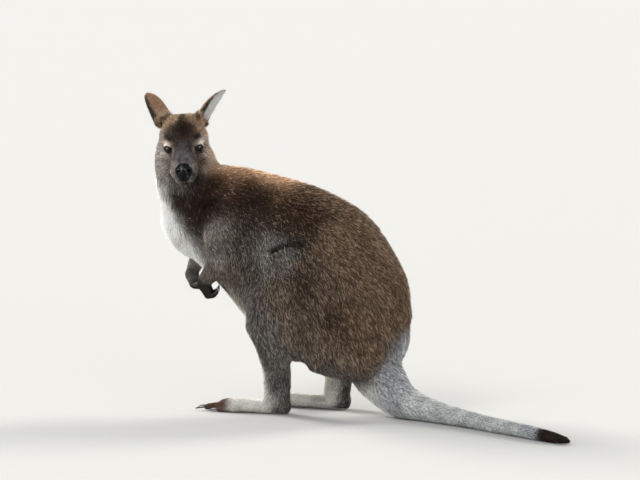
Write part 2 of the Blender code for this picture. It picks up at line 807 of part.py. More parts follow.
def build_body():
    masses = trunk_masses() + neck_masses() + tail_masses() + head_masses()
    for side in ("left", "right"):
        masses += thigh_masses(side) + shank_masses(side) + arm_masses(side)
    body = fuse(masses, 0.0042, 16, BODY_FACES)
    trim(body, neck_cut(), False)
    cut_floor(body)
    for side in ("left", "right"):
        trim(body, foot_box(side), False)
        trim(body, wrist_cut(side, 0.034, 0.024), False)
    for side in ("left", "right"):
        peel_arm(body, side)
        peel_leg(body, side)
    for name, (point, way, length, half, colour) in SLICES.items():
        peel(body, box_cell(Vector(point), Vector(way), length, half), name, colour)
    finish_node(body, "rump", "back")


def peel_arm(body, side):
    shoulder, elbow, wrist, _, _ = ARM[side]
    along = elbow - wrist
    turn = along.to_track_quat("Z", "Y").to_matrix().to_4x4()
    wide, deep, past = FOREARM_CELL
    reach = Vector((wide, deep, 0.5 * along.length + past))
    middle = 0.5 * (elbow + wrist) - along.normalized() * 0.004
    peel(body, ball_cell(middle, reach, turn), f"forearm_{side}", "flank")
    along = shoulder - elbow
    turn = along.to_track_quat("Z", "Y").to_matrix().to_4x4()
    wide, deep, past = UPPER_ARM_CELL
    reach = Vector((wide, deep, 0.5 * along.length + past))
    middle = 0.5 * (shoulder + elbow) + Vector((0, body_side(side) * UPPER_ARM_OUT, 0))
    peel(body, ball_cell(middle, reach, turn), f"upper_arm_{side}", "flank")


def shank_cell(side):
    """A leaning box from the floor to just below the knee."""
    x, out, top, _, _ = SHANK[1]
    centre = leg_point(side, x, out, 0.5 * top)
    long, wide = SHANK_CELL
    def make(grow):
        form = bmesh.new()
        bmesh.ops.create_cube(form, size=1.0)
        size = Matrix.Diagonal((long + 2 * grow, wide + 2 * grow, top + 2 * grow, 1.0))
        place = Matrix.Translation(centre) @ Matrix.Rotation(SHANK_LEAN, 4, "Y") @ size
        bmesh.ops.transform(form, matrix=place, verts=form.verts)
        return make_object("cell", form)
    return make


def peel_leg(body, side):
    peel(body, shank_cell(side), f"shank_{side}", "flank")
    shift = LEG_BACK[side] * 0.4
    x, out, z = THIGH_CELL_CENTRE
    centre = Vector((x + shift, body_side(side) * out, z))
    radii = Vector(THIGH_CELL_RADII) - Vector((shift * 0.5, 0.0, 0.0))
    turn = Matrix.Rotation(THIGH_LEAN, 4, "Y")
    peel(body, ball_cell(centre, radii, turn), f"thigh_{side}", "back")


def recentre():
    """Put the middle of the whole model's box over the origin."""
    solids = [item for item in bpy.data.objects if item.type == "MESH"]
    corners = [vert.co for item in solids for vert in item.data.vertices]
    middle_x = 0.5 * (min(c.x for c in corners) + max(c.x for c in corners))
    middle_y = 0.5 * (min(c.y for c in corners) + max(c.y for c in corners))
    for item in solids:
        for vert in item.data.vertices:
            vert.co = vert.co - Vector((middle_x, middle_y, 0.0))


clear_scene()
build_head()
build_feet()
build_hands()
build_body()
recentre()
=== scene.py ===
"""Looks of the wallaby: one skin over the flesh, a coat of solid tufts on it, eyes and claws.

The solids of the frame reach to the coat's tips. The skin is made from them, drawn in by the
coat's depth, and every tuft grows from the skin back out to about their surface.
"""

import math
from contextlib import contextmanager

import bmesh
import bpy
import numpy as np
from mathutils import Matrix, Vector
from mathutils.bvhtree import BVHTree


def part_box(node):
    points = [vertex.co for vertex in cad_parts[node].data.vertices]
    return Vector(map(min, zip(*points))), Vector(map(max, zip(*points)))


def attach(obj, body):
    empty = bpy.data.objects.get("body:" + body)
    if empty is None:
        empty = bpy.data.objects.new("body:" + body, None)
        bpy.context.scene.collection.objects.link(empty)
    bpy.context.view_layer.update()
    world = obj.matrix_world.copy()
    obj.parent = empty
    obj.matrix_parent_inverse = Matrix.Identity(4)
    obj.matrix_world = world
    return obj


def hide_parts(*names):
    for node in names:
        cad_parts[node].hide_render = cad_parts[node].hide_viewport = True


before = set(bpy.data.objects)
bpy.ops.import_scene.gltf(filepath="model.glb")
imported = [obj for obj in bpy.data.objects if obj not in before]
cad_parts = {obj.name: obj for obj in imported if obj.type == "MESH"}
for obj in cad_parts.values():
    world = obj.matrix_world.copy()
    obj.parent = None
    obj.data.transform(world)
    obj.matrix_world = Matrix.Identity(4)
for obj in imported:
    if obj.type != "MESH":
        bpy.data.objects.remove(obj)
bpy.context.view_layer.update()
SEED = 7  # of the first piece of coat; each later one has the next
BATCH = 20000  # points whose coat is worked out at once

# ---------------- the animal's own measures
# Lengths are metres. The body faces -X, its left side is at -Y.
HEAD_PLACE = Vector((-0.2367, -0.064, 0.5517))  # origin of the head's frame, before centring
HEAD_TURN = math.radians(110)
HEAD_DROP = math.radians(14)
HEAD_ROLL = math.radians(3)
EYE_PLACE = Vector((0.0303, 0.0085, 0.006))  # the right eyeball, in the head's frame
EYE_RADIUS = 0.0098
GAZE_SIDE = math.radians(36)  # how far the eye looks out from the way the face points

# Trunk axis from chest to rump: x, z, half thickness, half width
TRUNK = (
    (-0.207, 0.415, 0.108, 0.068),
    (-0.125, 0.384, 0.13, 0.085),
    (-0.035, 0.334, 0.161, 0.104),
    (0.053, 0.276, 0.171, 0.117),
    (0.128, 0.222, 0.134, 0.108),
    (0.172, 0.172, 0.09, 0.082),
)
LEG_BACK = {"left": 0.0, "right": 0.093}
ARM = {
    "left": ((-0.158, -0.052, 0.415), (-0.148, -0.08, 0.322), (-0.199, -0.047, 0.27),
             (-0.189, -0.04, 0.243), (-0.1765, -0.0395, 0.254)),
    "right": ((-0.178, 0.05, 0.415), (-0.243, 0.066, 0.338), (-0.259, 0.037, 0.279),
              (-0.243, 0.022, 0.254), (-0.222, 0.014, 0.262)),
}
EAR_LENGTH = 0.092
EAR_WIDTH = 0.0235
# ears in the head's frame: root, way they point, way they open
EARS = {
    "left": ((-0.027, -0.052, 0.0415), (-0.067, -0.023, 0.059), (-0.75, 0.45, -0.4)),
    "right": ((0.03, -0.05, 0.0405), (0.044, -0.06, 0.048), (0.62, -0.74, 0.0)),
}
SIDES = {"left": -1.0, "right": 1.0}
EYES = ("eye_left", "eye_right")
EAR_NODES = ("ear_left", "ear_right")
CLAWS = tuple(sorted(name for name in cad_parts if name.startswith("claw_")))
FLESH = tuple(sorted(set(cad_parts) - set(EYES) - set(CLAWS)))


def head_turn():
    """Columns: towards the animal's right, forward along the face, up."""
    level = Vector((-math.cos(HEAD_TURN), -math.sin(HEAD_TURN), 0.0))
    forward = level * math.cos(HEAD_DROP) - Vector((0, 0, 1)) * math.sin(HEAD_DROP)
    right = forward.cross(Vector((0, 0, 1))).normalized()
    turn = Matrix((right, forward, right.cross(forward))).transposed()
    return turn @ Matrix.Rotation(HEAD_ROLL, 3, "Y")


def middle_of(node):
    low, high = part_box(node)
    return 0.5 * (low + high)


HEAD_TURNED = head_turn()
EYE_LINE = 0.5 * (middle_of("eye_left") + middle_of("eye_right"))
HEAD_ORIGIN = EYE_LINE - HEAD_TURNED @ Vector((0.0, EYE_PLACE.y, EYE_PLACE.z))
CENTRING = HEAD_ORIGIN - HEAD_PLACE  # from the animal's own frame to the centred one
HEAD_AXES = np.array(HEAD_TURNED)
HEAD_AT = np.array(HEAD_ORIGIN)
CENTRED = np.array(CENTRING)


def to_head(points):
    return (points - HEAD_AT) @ HEAD_AXES


def from_head(points):
    return np.asarray(points) @ HEAD_AXES.T + HEAD_AT


def eye_centre(side):
    """In the head's frame."""
    return np.array((SIDES[side] * EYE_PLACE.x, EYE_PLACE.y, EYE_PLACE.z))


def unit(vectors):
    return vectors / np.maximum(np.linalg.norm(vectors, axis=-1, keepdims=True), 1e-12)


def ease(low, high, values):
    """0 below low, 1 above high, smooth between."""
    t = np.clip((values - low) / (high - low), 0.0, 1.0)
    return t * t * (3.0 - 2.0 * t)


# ---------------- lie, length and colour of the coat
# Each tone: linear colour of the hair's main length, share of pale-tipped and of dark-tipped hairs
TONES = {
    # nape: rufous, made lighter still as painted light of the lit rim on top of the neck
    "nape": ((0.6, 0.35, 0.21), 0.24, 0.22),
    # shoulder: dark brown, darkened further as painted shade of the neck's side below the head
    "shoulder": ((0.019, 0.008, 0.003), 0.05, 0.3),
    "back": ((0.037, 0.018, 0.009), 0.17, 0.32),
    "rump": ((0.115, 0.073, 0.044), 0.26, 0.3),
    "flank": ((0.108, 0.103, 0.096), 0.33, 0.32),
    "side": ((0.036, 0.03, 0.023), 0.28, 0.3),
    "thigh": ((0.096, 0.066, 0.047), 0.3, 0.32),
    "thigh_low": ((0.084, 0.08, 0.077), 0.32, 0.3),
    "shank": ((0.06, 0.061, 0.062), 0.32, 0.28),
    "shank_front": ((0.7, 0.67, 0.6), 0.1, 0.05),
    "foot": ((0.72, 0.7, 0.64), 0.15, 0.16),
    "toe": ((0.085, 0.034, 0.022), 0.05, 0.25),
    "belly": ((0.76, 0.72, 0.61), 0.1, 0.0),
    "chest": ((0.97, 0.96, 0.92), 0.1, 0.0),
    "throat": ((0.42, 0.42, 0.39), 0.25, 0.2),
    "arm": ((0.24, 0.22, 0.195), 0.28, 0.28),
    "forearm": ((0.13, 0.106, 0.088), 0.14, 0.3),
    "hand": ((0.006, 0.005, 0.004), 0.0, 0.0),
    "tail_root": ((0.345, 0.355, 0.38), 0.24, 0.32),
    "tail": ((0.55, 0.57, 0.56), 0.2, 0.14),
    "tail_under": ((0.72, 0.72, 0.68), 0.15, 0.05),
    "tail_tip": ((0.022, 0.013, 0.009), 0.0, 0.15),
    "crown": ((0.285, 0.185, 0.112), 0.28, 0.34),
    "mask": ((0.03, 0.018, 0.013), 0.06, 0.3),
    "cheek": ((0.235, 0.215, 0.202), 0.3, 0.3),
    "under_eye": ((0.28, 0.25, 0.23), 0.22, 0.2),
    "bridge": ((0.125, 0.118, 0.13), 0.05, 0.14),
    "muzzle": ((0.125, 0.112, 0.108), 0.14, 0.28),
    "chin": ((0.11, 0.088, 0.078), 0.15, 0.24),
}

# Tones that keep their place against the ones round them
HOLDS = {"hand": 40.0, "forearm": 20.0, "shank_front": 8.0, "chest": 6.0, "cheek": 2.0,
         "tail_root": 2.5, "shoulder": 2.0}

# Trunk coat: tone at each station of TRUNK for each angle, in degrees, down from the spine
TRUNK_TONES = {
    # the top row takes the paler nape and rump tones: partly the fur's own colour, partly painted light of
    # a lit rim along the spine
    0: ("nape", "nape", "rump", "rump", "rump", "rump"),
    45: ("shoulder", "shoulder", "back", "rump", "rump", "rump"),
    90: ("shoulder", "side", "flank", "back", "back", "rump"),
    135: ("side", "side", "flank", "flank", "thigh", "thigh"),
    180: ("chest", "belly", "belly", "belly", "thigh_low", "thigh_low"),
}
TRUNK_FUR = (0.054, 0.016, 0.01, 0.0013)  # reach, length, depth, width

# The other coat tables are in millimetres, except for the ways.
# On both sides of the body: place and way (x, outwards, z), reach, length, depth, width, tone
PAIRED_COAT = (
    ((-100, 100, 300), (0.35, 0.1, -1), 50, 17, 9.5, 1.1, "side"),
    ((-200, 66, 445), (0.2, 0.3, -1), 36, 18, 10, 1.1, "shoulder"),
    ((-200, 68, 390), (0.2, 0.3, -1), 30, 18, 10, 1.2, "side"),
    ((-288, 46, 425), (0.05, 0.2, -1), 22, 20, 10.5, 1.2, "chest"),
    ((-270, 48, 385), (0.15, 0.2, -1), 22, 20, 11, 1.2, "chest"),
    ((-244, 46, 345), (0.35, 0.1, -1), 22, 20, 11, 1.2, "chest"),
    ((-300, 24, 430), (0, 0.1, -1), 26, 20, 10.5, 1.2, "chest"),
    ((-284, 28, 385), (0.15, 0.1, -1), 26, 20, 11, 1.2, "chest"),
    ((-256, 26, 342), (0.4, 0.1, -1), 26, 20, 11, 1.2, "chest"),
    ((-280, 50, 462), (0.05, 0.2, -1), 22, 19, 10, 1.2, "throat"),
    ((-252, 62, 405), (0.15, 0.2, -1), 18, 19, 10.5, 1.2, "throat"),
    ((-226, 58, 350), (0.3, 0.1, -1), 18, 18, 10.5, 1.2, "throat"),
    # behind the elbow on the belly: the forearm's darker tone is laid here as painted shade where the arm
    # shades the belly
    ((-125, 78, 291), (0.2, 0, -1), 20, 14, 8, 1.1, "forearm"),
    ((-205, 62, 340), (0.15, 0.2, -1), 36, 18, 9.5, 1.1, "side"),
    ((150, 115, 230), (0.5, 0, -0.85), 60, 17, 10, 1.1, "rump"),
    ((80, 135, 270), (0.6, 0, -0.8), 60, 17, 10, 1.1, "thigh"),
    ((0, 130, 260), (0.45, 0, -0.9), 60, 17, 10, 1.1, "thigh"),
    ((-45, 120, 210), (0.25, 0, -1), 45, 16, 9, 1.1, "thigh_low"),
    ((40, 132, 180), (0.35, 0, -0.95), 55, 16, 9.5, 1.1, "thigh"),
    ((120, 120, 150), (0.4, 0, -0.9), 50, 16, 9.5, 1.1, "thigh"),
    ((40, 110, 125), (0.3, -0.1, -0.95), 40, 14, 7.5, 1.1, "thigh_low"),
    ((110, 90, 100), (0.55, 0, -0.8), 40, 15, 8.5, 1.1, "thigh_low"),
)
# On each leg, moved back with it
LEG_COAT = (
    ((-60, 95, 165), (-0.05, 0, -1), 34, 13, 7, 1, "thigh_low"),
    ((-30, 100, 120), (0, 0, -1), 28, 11, 5.5, 1, "shank"),
    ((-20, 80, 75), (0, 0, -1), 26, 10, 4.5, 1, "shank"),
    ((-72, 62, 140), (0, 0, -1), 14, 11, 5, 1, "shank_front"),
    ((-68, 60, 100), (0, 0, -1), 14, 10, 4, 1, "shank_front"),
    ((-66, 58, 62), (-0.1, 0, -1), 14, 9, 3.5, 1, "shank_front"),
    ((-50, 38, 110), (0, 0, -1), 20, 10, 4, 1, "shank_front"),
    ((-46, 36, 70), (0, 0, -1), 20, 10, 4, 1, "shank_front"),
    ((-48, 36, 42), (0, 0, -1), 18, 8, 3, 1, "shank_front"),
    ((-12, 34, 75), (0, 0, -1), 16, 10, 4, 1, "shank"),
    ((-10, 36, 40), (0, 0, -1), 14, 9, 3.5, 1, "shank"),
    ((-3, 60, 45), (0, 0, -1), 20, 9, 3.5, 1, "shank"),
    ((-60, 58, 40), (-0.6, 0, -0.8), 18, 8, 2.8, 0.9, "foot"),
    ((-80, 56, 28), (-1, 0, -0.1), 24, 6.5, 1.9, 0.8, "foot"),
    ((-115, 56, 28), (-1, 0, -0.1), 20, 6.5, 1.8, 0.8, "foot"),
    ((-10, 56, 10), (-0.8, 0, -0.6), 20, 6, 1.8, 0.8, "shank"),
    ((-148, 57, 22), (-1, 0, -0.15), 18, 7, 1.7, 0.8, "toe"),
    ((-178, 57, 12), (-1, 0, -0.15), 18, 5.5, 1.4, 0.8, "toe"),
)
# Neck and tail, on the middle line
MIDDLE_COAT = (
    ((-200, 55, 530), (0.25, 0.15, -1), 45, 17, 9.5, 1.1, "nape"),
    ((-185, 0, 510), (0.6, 0, -0.7), 45, 18, 10, 1.1, "nape"),
    # the next two lay the shoulder tone on the left below the chin, as painted shadow under the head
    ((-215, -60, 490), (0.25, -0.1, -1), 34, 18, 10, 1.1, "shoulder"),
    ((-245, -60, 455), (0.15, -0.2, -1), 30, 18, 10, 1.1, "shoulder"),
    ((-300, 45, 500), (-0.1, 0, -1), 36, 17, 9.5, 1.1, "throat"),
    ((-326, 5, 465), (-0.05, 0, -1), 30, 18, 9.5, 1.1, "chest"),
    ((-318, 0, 425), (0, 0, -1), 30, 20, 11, 1.1, "chest"),
    ((-306, 0, 385), (0.1, 0, -1), 30, 20, 11, 1.1, "chest"),
    ((-275, 0, 345), (0.35, 0, -1), 30, 20, 11, 1.1, "chest"),
    ((-230, 0, 305), (0.6, 0, -0.8), 34, 18, 11, 1.1, "belly"),
    ((-170, 0, 250), (0.6, 0, -0.8), 34, 18, 11, 1.1, "belly"),
    ((-125, 0, 190), (0.55, 0, -0.85), 34, 18, 11, 1.1, "belly"),
    ((225, 0, 150), (0.45, 0, -0.9), 36, 16, 9, 1.1, "tail_root"),
    ((185, 0, 120), (0.5, 0, -0.9), 36, 16, 9, 1.1, "tail_root"),
    ((170, -5, 50), (0.6, 0, -0.8), 35, 14, 7, 1.1, "tail_under"),
    ((235, -20, 85), (0.75, -0.15, -0.6), 40, 15, 7.5, 1.1, "tail_root"),
    ((285, -45, 55), (0.9, -0.4, -0.15), 40, 13, 5.5, 1.1, "tail"),
    ((352, -77, 40), (0.9, -0.44, -0.05), 40, 11, 4.2, 1, "tail"),
    ((440, -127, 34), (0.86, -0.5, -0.02), 45, 10, 3.6, 1, "tail"),
    ((530, -184, 30), (0.85, -0.53, -0.02), 40, 10, 3.4, 1, "tail"),
    ((570, -209, 28), (0.86, -0.5, -0.02), 24, 12, 3.4, 1, "tail_root"),
    ((620, -238, 24), (0.86, -0.5, -0.02), 26, 15, 3.8, 1, "tail_tip"),
    ((680, -272, 20), (0.87, -0.49, -0.02), 30, 18, 4, 1, "tail_tip"),
)
# On both sides of the head, in its frame (outwards, forward, up)
HEAD_COAT = (
    ((0, 58, -1), (0, -1, 0.3), 14, 4.5, 1.3, 0.7, "bridge"),
    ((0, 30, 18), (0, -0.9, 0.5), 16, 6, 1.7, 0.8, "mask"),
    ((0, 0, 38), (0, -0.9, 0.5), 20, 8, 2.3, 0.9, "mask"),
    ((0, -35, 56), (0, -1, 0.05), 22, 11, 3.4, 1, "crown"),
    ((20, 60, -24), (0.15, -1, 0.05), 13, 4.5, 1.3, 0.7, "muzzle"),
    ((16, 70, -44), (0.45, -0.8, -0.35), 11, 4.8, 1.4, 0.7, "muzzle"),
    ((0, 66, -64), (0, -0.5, -0.85), 12, 6, 1.8, 0.8, "chin"),
    ((14, 40, -64), (0.2, -0.8, -0.6), 16, 8, 2.5, 0.9, "chin"),
    ((0, 0, -72), (0, -0.7, -0.7), 22, 14, 5, 1.1, "throat"),
    ((26, 36, -30), (0.2, -1, -0.1), 14, 6, 1.8, 0.8, "muzzle"),
    ((24, 32, 2), (0.25, -1, 0.25), 12, 4.5, 1.2, 0.7, "mask"),
    ((40, 12, -16), (0.2, -1, -0.25), 14, 5.5, 1.6, 0.8, "under_eye"),
    ((50, -12, -24), (0.25, -0.9, -0.5), 18, 10, 3.2, 1, "cheek"),
    ((38, -6, -48), (0.2, -0.8, -0.65), 16, 10, 3.4, 1, "cheek"),
    ((30, 6, 22), (0.25, -0.85, 0.45), 12, 6, 1.7, 0.8, "mask"),
    ((47, -12, 8), (0.2, -1, 0.05), 14, 8, 2.4, 0.9, "cheek"),
    ((50, -45, 0), (0.2, -0.8, -0.55), 20, 13, 4.5, 1, "cheek"),
    ((52, -28, -34), (0.2, -0.7, -0.7), 20, 12, 4.2, 1, "cheek"),
    ((40, -30, -62), (0.2, -0.7, -0.75), 18, 13, 4.8, 1, "cheek"),
    ((36, -46, 44), (0.4, -0.5, 0.6), 16, 16, 5.6, 1, "crown"),
    ((0, -85, 20), (0, -0.4, -0.9), 30, 18, 6.5, 1.2, "nape"),
)


class Coat:
    """Guides spread over the body, each saying how the fur lies round it."""

    def __init__(self):
        self.guides = []

    def add(self, place, way, reach, length, depth, width, tone):
        colour, pale, dark = TONES[tone]
        numbers = (length, depth, width, *colour, pale, dark)
        self.guides.append((place, unit(way), reach, HOLDS.get(tone, 1.0), numbers))

    def at(self, points):
        """For each point: way, length, depth, width, colour, share of pale and of dark tips."""
        places, ways, reach, hold, numbers = (np.array(column) for column in zip(*self.guides))
        lie = np.empty((len(points), 3))
        facts = np.empty((len(points), numbers.shape[1]))
        for start in range(0, len(points), BATCH):
            some = points[start:start + BATCH]
            square = ((some[:, None, :] - places[None]) ** 2).sum(2) / reach ** 2
            weight = hold * (1.0 + square) ** -4.0
            weight /= weight.sum(1, keepdims=True)
            lie[start:start + BATCH] = weight @ ways
            facts[start:start + BATCH] = weight @ numbers
        return unit(lie), facts


def trunk_guides(coat):
    for i, (x, z, thick, width) in enumerate(TRUNK):
        before, after = TRUNK[max(i - 1, 0)], TRUNK[min(i + 1, len(TRUNK) - 1)]
        along = unit(np.array((after[0] - before[0], 0.0, after[1] - before[1])))
        up = np.array((-along[2], 0.0, along[0]))
        for angle, tones in TRUNK_TONES.items():
            turn = math.radians(angle)
            for side in SIDES.values():
                out = up * thick * math.cos(turn) + np.array((0, side * width * math.sin(turn), 0))
                way = along + np.array((0.0, 0.0, -0.9)) * math.sin(min(turn, math.pi / 2)) * 0.5
                coat.add(np.array((x, 0, z)) + out + CENTRED, way, *TRUNK_FUR, tones[i])


def arm_guides(coat):
    for side in SIDES:
        shoulder, elbow, wrist, knuckles, ends = (np.array(p) for p in ARM[side])
        out = np.array((0.0, SIDES[side], 0.0))
        rows = (
            (shoulder + out * 0.035 - (0, 0, 0.03), elbow - shoulder, 0.034, 0.014, 0.0075, 0.0011, "arm"),
            (elbow + out * 0.022, wrist - shoulder, 0.024, 0.011, 0.005, 0.001, "arm"),
            (0.4 * elbow + 0.6 * wrist, wrist - elbow, 0.026, 0.009, 0.0034, 0.0009, "forearm"),
            (wrist, wrist - elbow, 0.022, 0.006, 0.002, 0.0008, "hand"),
            (knuckles, knuckles - wrist, 0.022, 0.0045, 0.0012, 0.0007, "hand"),
            (ends, ends - knuckles, 0.02, 0.0035, 0.0009, 0.0007, "hand"),
        )
        for place, way, *facts in rows:
            coat.add(place + CENTRED, way, *facts)


def in_metres(rows):
    """Rows of a coat table, with their lengths turned from millimetres."""
    for place, way, *sizes, tone in rows:
        yield np.array(place) / 1000, np.array(way, float), *(size / 1000 for size in sizes), tone


def all_guides():
    coat = Coat()
    trunk_guides(coat)
    arm_guides(coat)
    for place, way, *facts in in_metres(MIDDLE_COAT):
        coat.add(place + CENTRED, way, *facts)
    for side, out in SIDES.items():
        mirror = np.array((1.0, out, 1.0))
        for place, way, *facts in in_metres(PAIRED_COAT):
            coat.add(place * mirror + CENTRED, way * mirror, *facts)
        back = np.array((LEG_BACK[side], 0.0, 0.0))
        for place, way, *facts in in_metres(LEG_COAT):
            coat.add(place * mirror + back + CENTRED, way * mirror, *facts)
        mirror = np.array((out, 1.0, 1.0))
        for place, way, *facts in in_metres(HEAD_COAT):
            coat.add(from_head(place * mirror), HEAD_AXES @ (way * mirror), *facts)
    return coat


COAT = all_guides()


# ---------------- mesh helpers
WELD = 0.00001


def arrays(mesh):
    """Points, triangles and edges of a mesh as arrays."""
    mesh.calc_loop_triangles()
    points = np.empty(len(mesh.vertices) * 3)
    mesh.vertices.foreach_get("co", points)
    triangles = np.empty(len(mesh.loop_triangles) * 3, np.int64)
    mesh.loop_triangles.foreach_get("vertices", triangles)
    edges = np.empty(len(mesh.edges) * 2, np.int64)
    mesh.edges.foreach_get("vertices", edges)
    return points.reshape(-1, 3), triangles.reshape(-1, 3), edges.reshape(-1, 2)


def set_points(mesh, points):
    mesh.vertices.foreach_set("co", np.ascontiguousarray(points, np.float32).ravel())
    mesh.update()


def normals_of(points, triangles):
    a, b, c = (points[triangles[:, k]] for k in range(3))
    flat = np.cross(b - a, c - a)
    total = np.zeros_like(points)
    for axis in range(3):
        for k in range(3):
            total[:, axis] += np.bincount(triangles[:, k], flat[:, axis], len(points))
    return unit(total)


def relaxed(values, edges, weight, rounds):
    """Values at the points, drawn towards the mean of their neighbours by weight."""
    values = values.copy()
    a, b = edges.T
    count = np.maximum(np.bincount(edges.ravel(), minlength=len(values)), 1)
    for _ in range(rounds):
        for axis in range(values.shape[1]):
            column = values[:, axis]
            total = np.bincount(a, column[b], len(column)) + np.bincount(b, column[a], len(column))
            values[:, axis] += weight * (total / count - column)
    return values


def linked(name, data):
    """A new object, in the scene."""
    made = bpy.data.objects.new(name, data)
    bpy.context.collection.objects.link(made)
    return made


def mesh_object(name, points, faces):
    mesh = bpy.data.meshes.new(name)
    mesh.from_pydata(points, [], faces)
    mesh.update()
    return linked(name, mesh)


@contextmanager
def editing(mesh):
    """The mesh as a form, whose changes go back into the mesh."""
    form = bmesh.new()
    form.from_mesh(mesh)
    yield form
    form.to_mesh(mesh)
    form.free()
    mesh.update()


def evaluated(item):
    """Freeze an object's modifiers into its mesh."""
    graph = bpy.context.evaluated_depsgraph_get()
    graph.update()
    mesh = bpy.data.meshes.new_from_object(item.evaluated_get(graph))
    item.modifiers.clear()
    old = item.data
    item.data = mesh
    bpy.data.meshes.remove(old)


def welded_copy(node, swell):
    """A form of a frame node whose surface stands out by swell."""
    form = bmesh.new()
    form.from_mesh(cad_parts[node].data)
    bmesh.ops.remove_doubles(form, verts=form.verts, dist=WELD)
    bmesh.ops.recalc_face_normals(form, faces=form.faces)
    form.normal_update()
    for vert in form.verts:
        vert.co += vert.normal * swell
    return form


def joined_copies(name, nodes, swell):
    """One object made of the welded copies of some frame nodes."""
    whole = bmesh.new()
    mesh = bpy.data.meshes.new(name)
    for node in nodes:
        form = welded_copy(node, swell)
        form.to_mesh(mesh)
        form.free()
        whole.from_mesh(mesh)
    whole.to_mesh(mesh)
    whole.free()
    return linked(name, mesh)


# ---------------- skin
VOXEL = 0.0018


def on_head(*place):
    """From the head's frame to the animal's own."""
    return HEAD_AXES @ place + HEAD_PLACE


# where the coat's outline is set in or out a little: place before centring, reach, how far out
NUDGES = (
    ((-0.27, 0.0, 0.328), 0.036, -0.01),
    ((-0.29, 0.0, 0.348), 0.028, -0.007),
    ((-0.31, 0.0, 0.388), 0.026, 0.006),
    ((-0.308, 0.0, 0.42), 0.034, 0.006),
    (on_head(0.044, -0.03, 0.034), 0.022, 0.004),
    (on_head(0.026, -0.046, 0.056), 0.015, 0.007),
    (on_head(-0.025, -0.046, 0.056), 0.015, 0.007),
    (on_head(-0.04, -0.042, 0.044), 0.014, 0.004),
)
SWELL = 0.0006  # closes the cuts between the nodes
SKIN_LOWEST = 0.0006  # above the floor
FOLD_DEPTH = 0.004  # how far the skin sinks in the flank's fold
SKIN_TRIANGLES = 150000


def node_finder():
    """A function from points to the index in FLESH of the node each lies on."""
    points, faces, owner = [], [], []
    for index, node in enumerate(FLESH):
        form = welded_copy(node, 0.0)
        bmesh.ops.triangulate(form, faces=form.faces)
        form.verts.index_update()
        start = len(points)
        points += [vert.co.copy() for vert in form.verts]
        faces += [tuple(start + vert.index for vert in face.verts) for face in form.faces]
        owner += [index] * len(form.faces)
        form.free()
    tree = BVHTree.FromPolygons(points, faces)
    owner = np.array(owner)

    def find(spots):
        return owner[[tree.find_nearest(spot)[2] for spot in spots]]
    return find


def fused_flesh():
    """One closed surface round all the flesh nodes and the eyeballs, without the ears."""
    skin = joined_copies("skin", [node for node in FLESH + EYES if node not in EAR_NODES], SWELL)
    remesh = skin.modifiers.new("fuse", "REMESH")
    remesh.mode = "VOXEL"
    remesh.voxel_size = VOXEL
    evaluated(skin)
    return skin


def soften(skin, find_node):
    """Smooth away the solids' facets, most on the trunk, and draw the skin in under the coat."""
    points, triangles, edges = arrays(skin.data)
    names = np.array(FLESH)[find_node(points)]
    small = np.char.startswith(names, "hand") | np.char.startswith(names, "foot")
    broad = ~(small | (names == "head") | np.char.startswith(names, "forearm"))
    share = np.stack((1.0 - small, broad), 1).astype(float)
    share = relaxed(share, edges, 0.6, 12)
    weights = (0.5, 0.5 * share[:, 0], 0.9 * share[:, 1])  # everywhere, off hands and feet, on the trunk

    def smoothed(values, *rounds):
        for weight, count in zip(weights, rounds):
            values = relaxed(values, edges, weight, count)
        return values

    smooth = smoothed(points, 5, 14, 90)
    points = smooth + smoothed(points - smooth, 3, 6, 45)  # the second gives back the volume lost
    _, facts = COAT.at(points)
    depth = facts[:, 1] * np.where(np.char.startswith(names, "hand"), 0.5, 1.0)
    depth = depth + FOLD_DEPTH * fold_share(points)
    for place, reach, out in NUDGES:
        gap = np.linalg.norm(points - CENTRED - place, axis=1)
        depth = depth - out * np.exp(-((gap / reach) ** 2))
    points = points - normals_of(points, triangles) * (depth + SWELL)[:, None]
    points = relaxed(points, edges, 0.5 * (1 - 0.7 * small), 3)
    points[:, 2] = np.maximum(points[:, 2], SKIN_LOWEST)
    set_points(skin.data, points)


def refine(skin, choose):
    """Split the faces whose middle is chosen."""
    with editing(skin.data) as form:
        middles = np.array([face.calc_center_median() for face in form.faces])
        chosen = choose(to_head(middles))
        picked = set()
        for face, take in zip(form.faces, chosen):
            if take:
                picked.update(face.edges)
        bmesh.ops.subdivide_edges(form, edges=list(picked), cuts=1, use_grid_fill=True)


def face_front(head):
    """Points of the head's front, which is split once."""
    return (head[:, 1] > -0.022) & (abs(head[:, 0]) < 0.062) & (abs(head[:, 2] + 0.015) < 0.062)


def face_fine(head):
    """Points round the eyes and on the nose, which are split again."""
    near = np.zeros(len(head), bool)
    for side in SIDES:
        near |= np.linalg.norm(head - eye_centre(side), axis=1) < 0.02
    return near | ((head[:, 1] > 0.058) & (abs(head[:, 2] + 0.03) < 0.04) & (abs(head[:, 0]) < 0.03))


def gaze(side):
    """The way an eye looks, in the head's frame."""
    return unit(np.array((SIDES[side] * math.sin(GAZE_SIDE), math.cos(GAZE_SIDE), 0.0)))


LID_HALF_LENGTH = 0.0073
LID_HALF_HEIGHT = 0.0064
LID_THICK = 0.001
UPPER_LID_EXTRA = 0.0005
LID_BACK = 0.0024  # how far the skin lies behind the eyeball's surface inside the opening
LID_ROLL = math.radians(12)  # the inner corner is raised by this
LID_SPREAD = 2.5  # the lids fade into the face at this many times the opening


